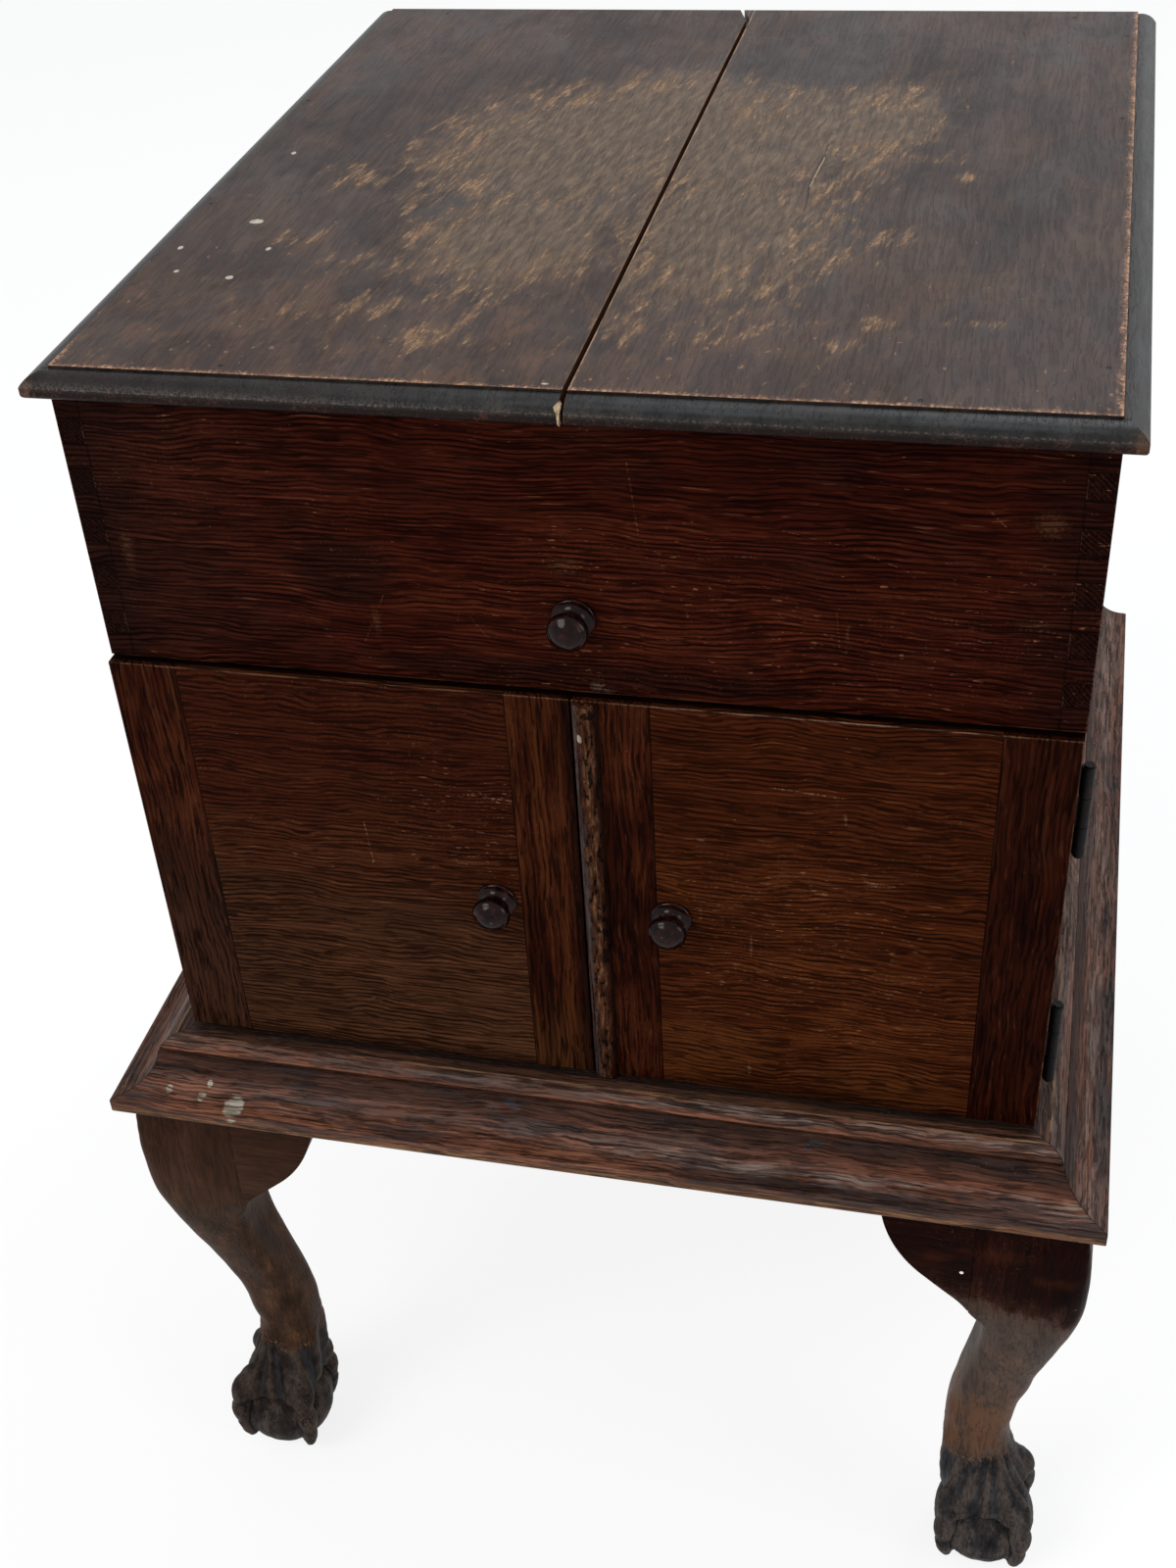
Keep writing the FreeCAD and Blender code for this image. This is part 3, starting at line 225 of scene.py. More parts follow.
class Wood(Graph):
    def __init__(self, name, grain, seed, sway=9, ripple=1.6):
        super().__init__(name)
        parts = self.x, self.y, self.z = self.split(self.mm)
        turned = {"x": (0, 1, 2), "y": (1, 0, 2), "z": (2, 0, 1)}[grain]
        along, side, deep = (parts[index] for index in turned)
        self.place = self.join(self.plus(along, seed * 531), self.plus(side, seed * 177), deep)
        slow = self.swing(self.field(0.011, 0.02, 2), sway)
        push = self.stray(slow, self.field(0.05, 0.05, 2), ripple)
        self.straight = self.place
        self.place = self.vector("ADD", self.place, self.join(0, push, push))
        self.broad = self.field(0.004, 0.09, 3, 0.6)
        self.fine = self.field(0.0065, 0.52, 3, 0.62)
        self.dash = self.field(0.042, 0.66, 2, 0.6)
        self.fleck = self.field(0.09, 0.45, 3, 0.6)
        self.cloud = self.pattern((0.008, 0.013, 0.013), 4, 0.6, 0, self.straight)
        self.mottle = self.pattern((0.05, 0.09, 0.09), 4, 0.65, 0, self.straight)
        self.grit = self.noise(self.straight, 0.7, 3, 0.65)

    def field(self, along, across, detail, rough=0.5):
        return self.pattern((along, across, across), detail, rough, 0, self.place)

    def stain(self, tones, figure=0.55, pores=0.7, patch=0.5, gloss=0.5, glint=0.3, bands=0, period=2.7):
        """tones run from the dark fibre to the light one, and then the brightest glint."""
        tone = self.blend(self.broad, self.fine, 0.42)
        for part, weight in ((self.cloud, patch), (self.mottle, patch * 0.35)):
            tone = self.stray(tone, part, weight)
        wide = 0.27 * figure
        self.colour = self.ramp(tone, ((0.5 - wide, tones[0]), (0.5, tones[1]), (0.5 + wide, tones[2])))
        self.over(self.span(self.dash, 0.36, 0.27), tones[3], glint)
        self.rough = self.stray(gloss, self.mottle, 0.3)
        self.hole = self.span(self.dash, 0.52, 0.61)
        self.pores = (tuple(value * 0.3 for value in tones[0]), pores)
        self.bands = None
        if bands:
            bend = self.times(self.field(0.02, 0.12, 2), 7)
            across = self.plus(*self.split(self.place)[1:])
            wave = self.math("SINE", self.math("MULTIPLY_ADD", across, math.tau / period, bend))
            much = self.span(self.field(0.014, 0.14, 3), 0.36, 0.62, 0.5 * bands, bands)
            self.bands = self.times(self.span(wave, -0.25, 0.95), much)
        self.height = self.less(self.times(self.fine, 0.25), self.times(self.hole, 0.5))
        return self

    def over(self, mask, tone, share=1):
        """Lay a tone over the colour where the mask is 1."""
        if share != 1:
            mask = self.times(mask, share)
        self.colour = self.mix(mask, self.colour, tone)

    def dint(self, mask, depth):
        self.height = self.less(self.height, self.times(mask, depth))

    def box_edge(self, low, high):
        """Distance in mm from a point on a board's face to the nearest arris."""
        below = self.split(self.vector("SUBTRACT", self.mm, low))
        above = self.split(self.vector("SUBTRACT", high, self.mm))
        gaps = [self.least(one, two) for one, two in zip(below, above)]
        first = self.least(gaps[0], gaps[1])
        second = self.most(gaps[0], gaps[1])
        return self.most(first, self.least(second, gaps[2]))

    def worn_edge(self, gap, width, tone, share, ragged=7):
        gap = self.stray(gap, self.mottle, ragged, 0.45)
        gap = self.stray(gap, self.grit, ragged * 0.4)
        self.over(self.span(gap, width, 0), tone, share)

    def scuffs(self, tone, share, seed, much=0.6):
        """Short light scratches that run every way."""
        for turn, (one, two) in enumerate(((0.02, 0.9), (0.55, 0.05))):
            place = self.vector("MULTIPLY", self.straight, (one, two, two))
            bend = self.vector("ADD", place, (seed * 3.7 + turn * 9.1, seed * 1.3, 0))
            line = self.noise(bend, 1, 1, 0.4, 0.9)
            ridge = self.size(self.less(line, 0.5))
            thin = self.span(ridge, 0.012, 0.002)
            here = self.span(self.grit, 0.52, 0.62)
            some = self.span(self.cloud, much, much + 0.08)
            self.over(self.times(thin, here, some), tone, share)

    def done(self, shine, depth=0.0004):
        """Dark growth lines and open pores go over every tint."""
        if self.bands is not None:
            self.colour = self.mix(self.bands, self.colour, (0.13, 0.06, 0.05), "MULTIPLY")
        self.over(self.hole, *self.pores)
        rough = self.most(self.rough, 0.2)
        return self.finish(self.colour, rough, self.height, depth, Specular_IOR_Level=shine)


def dress(node, material):
    """Give a CAD node its finish."""
    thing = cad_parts[node]
    slots = thing.data.materials
    if len(slots) == 0:
        slots.append(material)
    for index in range(len(slots)):
        slots[index] = material


def node_box(node):
    low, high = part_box(node)
    return tuple(value * 1000 for value in low), tuple(value * 1000 for value in high)


# From the darkest fibre to the lightest, and the brightest glint
HOOD = ((0.007, 0.0009, 0.0005), (0.0255, 0.0038, 0.0015), (0.056, 0.011, 0.0043), (0.11, 0.036, 0.016))
DOOR_LEFT = ((0.013, 0.003, 0.001), (0.037, 0.01, 0.0036), (0.07, 0.023, 0.0088), (0.135, 0.053, 0.021))
DOOR_RIGHT = ((0.015, 0.003, 0.0008), (0.04, 0.0088, 0.0021), (0.074, 0.0195, 0.005), (0.15, 0.055, 0.019))
STILE = ((0.0055, 0.0009, 0.0004), (0.019, 0.0034, 0.0012), (0.046, 0.0115, 0.0038), (0.095, 0.031, 0.011))
LID = ((0.012, 0.0068, 0.0058), (0.031, 0.019, 0.0155), (0.055, 0.035, 0.028), (0.1, 0.066, 0.044))
STAND = ((0.022, 0.0088, 0.0056), (0.1, 0.039, 0.0232), (0.215, 0.084, 0.046), (0.36, 0.2, 0.12))
PINE = ((0.07, 0.034, 0.016), (0.128, 0.069, 0.034), (0.195, 0.112, 0.058), (0.27, 0.17, 0.092))
PAINT = (0.36, 0.33, 0.27)

# Faces and edges in mm that the finishes are laid by
LID_TOP, NOSE_TOP = 765, 758.8
FLAT_SIDE, FLAT_FRONT = 228.65, 243.15
CRACK_X, CRACK_LEAN = 3.366, -0.00683
HOOD_FACE, HOOD_SIDE, HOOD_FLOOR = -244, 230, 615.5
FINGER = 137.7 / 11
DOOR_FACE, DOOR_FOOT, DOOR_TOP = -250, 375.3, 614.6
STAND_SIDE, STAND_FRONT = 269.25, 292.5
POST_X, POST_Y, POST_HALF = 231.5, 250.5, 26
KNEE_SIDE, KNEE_FRONT = 268.5, 287
ANKLE, POST_TOP = 112, 338
BALL_X, BALL_Y, BALL_Z = 228.5, 247.5, 29


def on_lid(rows, deep=30):
    """Ellipsoids on the lid's flat, from rows of x, y and the radii along them."""
    return [((x, y, LID_TOP), (wide, far, deep)) for x, y, wide, far in rows]


def on_front(face, rows, deep=30):
    """Ellipsoids on an upright face, from rows of x, z and the radii along them."""
    return [((x, face, z), (wide, deep, tall)) for x, z, wide, tall in rows]


def runs_on(face, rows):
    """Straight runs on an upright face, from rows of x, z, x and z."""
    return [((x, face, z), (to_x, face, to_z)) for x, z, to_x, to_z in rows]


# Lid: weathered flat, worn through to the bare oak, with charcoal mouldings

WORN_FLAT = on_lid([(-58, 26, 75, 100), (-60, -80, 55, 70), (40, 60, 75, 95), (42, -70, 60, 90),
    (-5, 100, 70, 65), (90, 90, 48, 58)], 60)
WORN_BARE = on_lid([(-160, -8, 20, 26), (-122, 40, 26, 62), (-76, 119, 42, 30), (-26, 138, 34, 20),
    (-110, -30, 26, 42), (-165, -93, 22, 13), (-108, -118, 40, 16), (-63, -156, 22, 26),
    (-66, -196, 20, 18), (-98, -166, 24, 15), (-122, -175, 22, 14), (-34, -120, 26, 22), (108, 122, 26, 36),
    (105, 30, 20, 36), (87, -18, 22, 26), (33, 105, 22, 44), (92, -96, 30, 18), (121, -72, 24, 18),
    (17, -180, 18, 22), (52, -182, 30, 18), (76, -168, 22, 14), (124, -167, 20, 9), (165, -163, 16, 7),
    (114, -189, 14, 8), (134, 33, 24, 12), (153, 6, 10, 12)])
NAIL_SPOTS = [(-190, 268), (193, 266), (223, 232), (222.5, 95), (222, -201), (-226, 104), (-225, -53),
    (-150, -236), (150, -238)]
NAILS = on_lid([(x, y, 1.3, 1.5) for x, y in NAIL_SPOTS], 4)
LID_SPECKS = on_lid([(-219, -110, 1.6, 2.6), (-210, -138, 1.6, 2), (-181, -143, 2.4, 2.6),
    (-206, 21, 1.6, 2.4), (-174, -108, 1.6, 2.4), (-192.3, -74.4, 4.6, 3.6), (-4.5, -238.5, 2, 1)], 3)


def lid_finish(node, seed):
    g = Wood(node, "y", seed, 12, 2).stain(LID, 0.7, 0.3, 0.9, 0.5, 0.2)
    high = g.span(g.z, LID_TOP - 0.5, LID_TOP - 0.1)
    # grey veil in patches on the flat: partly dust, partly a painted reflection of the sky
    grey_dust_and_sheen = g.pattern((0.014, 0.007, 0.01), 4, 0.6, 0.6)
    g.over(g.times(g.span(grey_dust_and_sheen, 0.44, 0.6), high), (0.042, 0.036, 0.037), 0.6)
    g.over(g.times(g.span(g.y, 0, -240), high), (0.034, 0.0165, 0.011), 0.46)
    drift = g.pattern((0.03, 0.02, 0.01), 4, 0.62, 0.8)
    foxy = g.pattern((0.055, 0.022, 0.01), 5, 0.7, 0.3)
    nearer = g.times(g.span(g.y, -30, -150), g.span(g.x, 150, -20, 0.35, 1))
    foxy = g.times(g.span(foxy, 0.47, 0.6), nearer)
    g.over(g.times(g.span(drift, 0.5, 0.62), high), (0.0165, 0.0125, 0.0125), 0.42)
    g.over(g.times(g.span(drift, 0.47, 0.36), high), (0.075, 0.04, 0.025), 0.3)
    stains = g.blobs(on_lid([(-180, -128, 30, 26), (-194, 12, 24, 30), (-80, 236, 46, 18),
        (-50, -150, 44, 20), (6, -196, 26, 16), (135, 20, 26, 46), (140, 110, 20, 40)]), g.mottle, 0.9)
    g.over(g.times(foxy, high), (0.105, 0.053, 0.03), 0.34)
    g.over(g.times(g.span(stains, 0, 0.45), high), (0.016, 0.01, 0.01), 0.5)
    # bare wood shows first as a dull brown field and then as torn flecks
    lean = g.math("MULTIPLY_ADD", g.y, -0.16, g.x)
    sweep = g.join(lean, g.y, 0)
    waves = g.pattern((0.26, 0.055, 0.1), 4, 0.65, 0.1, sweep)
    flat = g.blobs(WORN_FLAT, g.cloud, 1.1)
    flat = g.stray(flat, g.mottle, 1.1)
    worn = g.span(g.stray(flat, waves, 0.9), -0.15, 0.5)
    worn = g.times(worn, high)
    field = ((0.36, (0.044, 0.028, 0.019)), (0.5, (0.08, 0.053, 0.034)), (0.66, (0.145, 0.098, 0.06)))
    field = g.ramp(g.blend(waves, g.mottle, 0.75), field)
    g.colour = g.mix(g.times(worn, 0.84), g.colour, field)
    torn = g.pattern((0.125, 0.032, 0.2), 5, 0.66, 0.1, sweep)
    sliver = g.pattern((0.5, 0.085, 0.4), 3, 0.65, 0, sweep)
    bare = g.blobs(WORN_BARE)
    rim = g.times(g.span(flat, -0.25, 0.1), g.span(flat, 0.75, 0.25))
    bare = g.most(bare, g.math("MULTIPLY_ADD", rim, 0.9, -0.6))
    bare = g.most(bare, g.span(g.y, -60, -170, -0.95, -0.22))
    bare = g.less(bare, g.span(g.x, 90, 190, 0, 0.35))
    bare = g.stray(g.least(bare, 0.45), torn, 4.6)
    bare = g.stray(bare, sliver, 1.7)
    bare = g.stray(bare, g.grit, 0.7)
    g.over(g.times(g.span(bare, -0.1, 0.75), high), (0.085, 0.047, 0.026), 0.5)
    bare = g.times(g.span(bare, 0.42, 1.1), high)
    tint = ((0.38, (0.085, 0.043, 0.02)), (0.52, (0.165, 0.092, 0.044)), (0.64, (0.27, 0.17, 0.092)))
    tint = g.ramp(g.blend(sliver, g.grit, 0.6), tint)
    g.colour = g.mix(g.times(bare, 0.85), g.colour, tint)
    g.dint(bare, 0.5)
    # little scattered chips, thicker towards the front
    chip = g.pattern((0.3, 0.17, 0.3), 2, 0.5)
    limit = g.span(g.y, -60, -235, 0.755, 0.69)
    chip = g.times(g.span(g.less(chip, limit), 0, 0.03), high)
    g.over(chip, (0.19, 0.105, 0.055), 0.7)
    # arrises of the flat and the charcoal moulding
    inset = g.least(g.less(FLAT_SIDE, g.size(g.x)), g.plus(g.y, FLAT_FRONT))
    above = g.plus(inset, g.times(g.less(1, high), 30))
    spared = g.times(g.span(g.x, -150, -226), g.span(g.y, -235, -200, 0, 3))
    worn = g.stray(g.plus(above, spared), g.grit, 11)
    worn = g.stray(worn, g.mottle, 6)
    g.over(g.span(worn, 3.4, 0.2), (0.17, 0.083, 0.05), 0.72)
    g.over(g.times(g.span(worn, 1.8, -0.6), g.span(g.fleck, 0.42, 0.54)), (0.38, 0.21, 0.115), 0.85)
    band = g.span(inset, 0.15, -0.15)
    coal = ((0.35, (0.008, 0.008, 0.008)), (0.55, (0.016, 0.015, 0.0145)), (0.75, (0.029, 0.026, 0.023)))
    g.colour = g.mix(band, g.colour, g.ramp(g.mottle, coal))
    # painted highlight along the upper curve of the moulding, weaker to the left
    painted_sheen = g.times(g.span(g.z, 760.6, 762.2), g.span(g.z, 764, 763.2))
    along = g.pattern((0.02, 0.02, 0.5), 3, 0.5)
    painted_sheen = g.times(painted_sheen, g.span(along, 0.3, 0.62, 0.35, 1))
    painted_sheen = g.times(painted_sheen, g.span(g.x, -230, 60, 0.15, 1))
    g.over(g.times(painted_sheen, band), (0.046, 0.049, 0.051), 0.6)
    # painted shade line where the flat drops to the moulding
    foot = g.span(g.size(g.less(inset, 0.2)), 0.9, 0.3)
    g.over(g.times(foot, band), (0.003, 0.003, 0.003), 0.8)
    warm = g.times(g.span(g.x, 60, -200), g.span(g.y, -243, -246))
    g.over(g.times(warm, band), (0.013, 0.0075, 0.0062), 0.5)
    low = g.less(g.z, NOSE_TOP)
    lip = g.stray(g.size(low), g.grit, 5, 0.35)
    g.over(g.times(g.span(lip, 1.3, 0), band), (0.13, 0.09, 0.07), 0.5)
    # painted shade on the moulding's underside, below the lower lip
    g.over(g.times(g.span(low, -0.6, -2.2), band), (0.0065, 0.0022, 0.0016), 0.92)
    red = g.times(g.span(g.plus(g.grit, g.times(g.mottle, 0.5)), 0.8, 0.92), band)
    g.over(g.times(red, g.span(low, 1, -2)), (0.06, 0.02, 0.012), 0.6)
    ends = g.blobs([((237, -252, 757), (6, 8, 8)), ((-237, -252, 757), (6, 8, 8))], g.grit, 2)
    g.over(g.times(g.span(ends, 0.1, 0.9), band), (0.105, 0.052, 0.032), 0.6)
    # the old crack: dark walls and one thin bright arris
    crack = g.less(g.x, g.math("MULTIPLY_ADD", g.y, CRACK_LEAN, CRACK_X))
    wall = g.times(g.span(g.size(crack), 1.5, 1.2), g.span(g.z, LID_TOP - 0.1, LID_TOP - 0.5))
    g.over(g.times(wall, g.span(inset, -11, -8)), (0.045, 0.016, 0.007), 0.9)
    rim = g.stray(g.less(crack, 1.2), g.mottle, 3, 0.45)
    rim = g.times(g.span(rim, 1, 0.1), g.span(crack, 0.9, 1.1))
    g.over(g.times(rim, high), (0.3, 0.19, 0.11), 0.7)
    left = g.stray(g.less(-1.2, crack), g.mottle, 3.5, 0.45)
    left = g.times(g.span(left, 0.9, 0.1), g.span(crack, -0.9, -1.1))
    g.over(g.times(left, high), (0.16, 0.075, 0.035), 0.6)
    wavy = g.swing(g.mottle, 3)
    back, middle, front = (77, 48, LID_TOP), (74.5, 0, LID_TOP), (76.5, -42, LID_TOP)
    g.over(g.span(g.lines([(back, middle), (middle, front)], wavy), 0.55, 0.2), (0.01, 0.006, 0.005), 0.9)
    beside = g.lines([((76, 30, LID_TOP), (74.5, -10, LID_TOP))], g.less(wavy, 0.9))
    g.over(g.span(beside, 0.5, 0.2), (0.3, 0.2, 0.12), 0.8)
    g.over(g.span(g.blobs(LID_SPECKS, g.grit, 0.7), 0.1, 0.3), PAINT, 0.9)
    nails = g.span(g.blobs(NAILS, g.grit, 0.5), 0, 0.3)
    g.over(nails, (0.004, 0.003, 0.003))
    g.dint(nails, 3)
    g.rough = g.less(g.rough, g.times(band, 0.12))
    return g.done(0.1, 0.00035)


dress("lid_left_board", lid_finish("lid_left_board", 7.7))
dress("lid_right_board", lid_finish("lid_right_board", 9.2))


# Hood and case boards

def joint_lines(g, front):
    """Fine dark lines round the fingers, where a board's end shows."""
    share = g.math("FRACT", g.math("DIVIDE", g.less(g.z, HOOD_FLOOR), FINGER))
    near = g.least(share, g.less(1, share))
    flat = g.span(g.times(near, FINGER), 0.75, 0.25)
    inset = g.less(HOOD_SIDE, g.size(g.x))
    within = g.span(inset, 12.4, 11.9)
    upright = g.span(g.size(g.less(inset, 12)), 0.75, 0.25)
    return g.times(g.most(g.times(flat, within), upright), front)


def hood_finish(node, grain, seed):
    g = Wood(node, grain, seed).stain(HOOD, 0.75, 0.65, 0.36, 0.55, 0.5, 0.92, 2.5)
    front = g.span(g.y, HOOD_FACE + 0.1, HOOD_FACE - 0.3)
    haze = g.pattern((0.02, 0.02, 0.03), 3, 0.6)
    g.over(g.span(haze, 0.5, 0.68), (0.024, 0.007, 0.004), 0.28)
    grey = g.span(g.math("MULTIPLY_ADD", g.cloud, 90, g.x), -30, -190)
    g.over(g.times(grey, front), (0.02, 0.0092, 0.0066), 0.34)
    dark = g.blobs(on_front(HOOD_FACE, [(-104, 672, 34, 22), (0, 624, 150, 10)], 60), g.mottle, 0.5)
    g.over(g.times(g.span(dark, 0, 0.5), front), (0.005, 0.0022, 0.0018), 0.6)
    if grain == "y":
        g.over(front, (0.0075, 0.0022, 0.0014), 0.5)
    ends = g.math("MULTIPLY_ADD", g.less(g.mottle, 0.5), 50, g.size(g.x))
    g.over(g.times(g.span(ends, 186, 224), front), (0.006, 0.0022, 0.0018), 0.62)
    g.over(joint_lines(g, front), (0.0015, 0.0008, 0.0006), 0.6)
    smear = on_front(HOOD_FACE, [(-91, 645, 5, 17), (125, 656, 2.4, 13), (-209, 674, 7, 26),
        (0, 682, 20, 9), (203, 668, 18, 4), (206, 716, 16, 12)])
    smear = g.blobs(smear, g.blend(g.grit, g.dash, 0.5), 2.6)
    g.over(g.times(g.span(smear, 0.45, 0.9), front), (0.085, 0.036, 0.016), 0.42)
    bruise = g.blobs(on_front(HOOD_FACE, [(12, 619, 5, 4), (17, 617, 5, 1.6)]), g.grit, 2.2)
    g.over(g.times(g.span(bruise, 0.2, 0.8), front), (0.078, 0.055, 0.042), 0.7)
    nick = runs_on(HOOD_FACE - 0.5, [(-46, 652, -38, 641), (96, 706, 124, 700), (124, 700, 150, 690),
        (60, 690, 88, 693), (162, 668, 214, 665), (170, 656, 206, 661), (180, 722, 188, 714),
        (-98, 634, -86, 660), (30, 735, 34, 700), (120, 668, 122, 648)])
    nick = g.times(g.span(g.lines(nick), 0.45, 0.1), g.span(g.grit, 0.46, 0.58))
    g.over(g.times(nick, front), (0.1, 0.042, 0.021), 0.6)
    g.scuffs((0.1, 0.045, 0.022), 0.45, seed, 0.47)
    chip = g.pattern((0.16, 0.3, 0.62), 3, 0.6)
    limit = g.plus(g.span(g.cloud, 0.42, 0.58, 0.745, 0.665), g.span(g.x, 40, -160, 0, 0.03))
    g.over(g.span(g.less(chip, limit), 0, 0.03), (0.15, 0.06, 0.027), 0.7)
    g.worn_edge(g.box_edge(*node_box(node)), 0.8, (0.085, 0.036, 0.019), 0.45, 2.5)
    return g.done(0.012)


for index, node in enumerate(("hood_front", "hood_back")):
    dress(node, hood_finish(node, "x", 1.3 + index))
for index, node in enumerate(("hood_left_side", "hood_right_side", "case_left_side", "case_right_side")):
    dress(node, hood_finish(node, "y", 3.1 + index))


# Doors

def top_edge(g, tone, share):
    """The worn top arris, and painted shade on the ledge behind it, toward the hood."""
    edge = g.most(g.less(DOOR_TOP, g.z), g.less(g.y, DOOR_FACE - 0.5))
    g.worn_edge(edge, 0.9, tone, share, 1.6)
    # painted shade on the back of the ledge, toward the hood
    g.over(g.times(g.span(g.y, -248.3, -246.6), g.span(g.z, 613.7, 614.3)), (0.0018, 0.0009, 0.0006))


def panel_finish(node, tones, seed):
    left = node.startswith("left")
    g = Wood(node, "x", seed, 12, 2.2).stain(tones, 0.8, 0.7, 0.38, 0.5, 0.45, 0.85, 2.7)
    front = g.span(g.y, DOOR_FACE + 0.1, DOOR_FACE - 0.3)
    warp = g.math("MULTIPLY_ADD", g.less(g.cloud, 0.5), 220, g.z)
    if left:
        g.over(g.times(g.span(warp, 480, 580), front), (0.022, 0.0026, 0.0008), 0.66)
        g.over(g.times(g.span(warp, 520, 400), front), (0.052, 0.027, 0.0135), 0.36)
    else:
        g.over(g.times(g.span(warp, 520, 610), front), (0.032, 0.0056, 0.0015), 0.42)
        glow = g.blobs(on_front(DOOR_FACE, [(62, 398, 60, 34), (150, 392, 60, 22)], 60), g.cloud, 0.8)
        g.over(g.span(glow, 0.1, 0.7), (0.066, 0.022, 0.0055), 0.3)
    g.over(g.times(g.span(g.less(g.z, DOOR_FOOT), 9, 0), front), (0.006, 0.0022, 0.0012), 0.6)
    if left:
        marks = on_front(DOOR_FACE, [(-150, 505, 2, 2), (-62, 520, 2.4, 2), (-120, 410, 2, 2)])
        marks = g.blobs(marks, g.grit, 1)
        nick = runs_on(DOOR_FACE - 0.5, [(-56, 554, -26, 552), (-50, 557, -36, 549), (-110, 530, -108, 505)])
        spot = g.blobs(on_front(DOOR_FACE, [(-192.5, 459, 5, 2.5), (-140, 440, 4, 1.5)]), g.grit, 0.9)
        g.over(g.span(spot, 0.1, 0.5), (0.006, 0.003, 0.002), 0.8)
    else:
        marks = on_front(DOOR_FACE, [(83, 391, 1.4, 8), (84, 476, 1.2, 10), (128, 560, 1.4, 4),
            (142, 523, 5, 1.6), (60, 540, 3, 1.5)])
        marks = g.blobs(marks, g.grit, 1.3)
        nick = runs_on(DOOR_FACE - 0.5, [(92, 575, 128, 572), (138, 524, 152, 523)])
    g.over(g.times(g.span(marks, 0.2, 0.7), front), (0.12, 0.065, 0.036), 0.55)
    nick = g.span(g.lines(nick), 0.6, 0.1)
    g.over(g.times(nick, g.span(g.grit, 0.44, 0.56), front), (0.16, 0.09, 0.05), 0.7)
    g.scuffs((0.12, 0.056, 0.026), 0.45, seed, 0.46)
    glint = g.pattern((0.18, 0.3, 0.75), 3, 0.6)
    spread = g.blobs(on_front(DOOR_FACE, [(105, 480, 110, 75), (-60, 540, 60, 50)], 90), g.cloud, 1)
    limit = g.span(spread, -0.1, 0.6, 0.72, 0.63)
    g.over(g.span(g.less(glint, limit), 0, 0.03), (0.16, 0.075, 0.034), 0.65)
    top_edge(g, (0.12, 0.062, 0.034) if left else (0.21, 0.145, 0.105), 0.75)
    g.worn_edge(g.less(g.z, DOOR_FOOT), 0.8, (0.08, 0.032, 0.015), 0.4, 3)
    return g.done(0.012)


def stile_finish(node, seed):
    g = Wood(node, "z", seed, 8, 1.6).stain(STILE, 0.95, 0.75, 0.85, 0.5, 0.35, 0.5, 2.8)
    if node == "left_door_meeting_stile":
        streak = g.span(g.field(0.006, 0.16, 3, 0.6), 0.4, 0.6)
        g.over(g.times(streak, g.span(g.x, -3, -11)), (0.052, 0.014, 0.0036), 0.7)
        g.over(g.span(g.z, 440, 375), (0.046, 0.019, 0.007), 0.42)
        # painted shade along the meeting edge, beside the proud bead
        g.over(g.span(g.x, -7, -1), (0.006, 0.002, 0.0011), 0.8)
    if node == "left_door_hinge_stile":
        g.over(g.span(g.field(0.008, 0.25, 3, 0.6), 0.54, 0.64), (0.06, 0.02, 0.008), 0.4)
        g.over(g.span(g.z, 570, 400), (0.027, 0.015, 0.0092), 0.5)
    if node == "right_door_meeting_stile":
        patch = g.blobs(on_front(DOOR_FACE, [(30, 520, 7, 34), (26, 585, 8, 12)]), g.fine, 1.2)
        g.over(g.span(patch, 0.1, 0.7), (0.058, 0.013, 0.004), 0.5)
    if node == "right_door_hinge_stile":
        g.over(g.span(g.cloud, 0.42, 0.6), (0.0085, 0.0018, 0.0009), 0.6)
    g.scuffs((0.11, 0.05, 0.024), 0.4, seed, 0.5)
    low, high = node_box(node)
    hinge = "hinge" in node
    gap = g.less(g.x, low[0]) if ("left" in node) != hinge else g.less(high[0], g.x)
    g.over(g.span(gap, 0.9, 0.3), (0.0015, 0.0007, 0.0005), 0.85)
    if hinge:
        side = g.less(229.5, g.size(g.x))
        g.worn_edge(g.most(side, g.less(g.y, DOOR_FACE - 0.5)), 0.7, (0.13, 0.068, 0.04), 0.6, 1.8)
    top_edge(g, (0.12, 0.062, 0.034), 0.7)
    return g.done(0.012)


dress("left_door_panel", panel_finish("left_door_panel", DOOR_LEFT, 11.3))
dress("right_door_panel", panel_finish("right_door_panel", DOOR_RIGHT, 13.3))
for index, node in enumerate(("left_door_hinge_stile", "left_door_meeting_stile", "right_door_hinge_stile",
                              "right_door_meeting_stile")):
    dress(node, stile_finish(node, 15.9 + index))


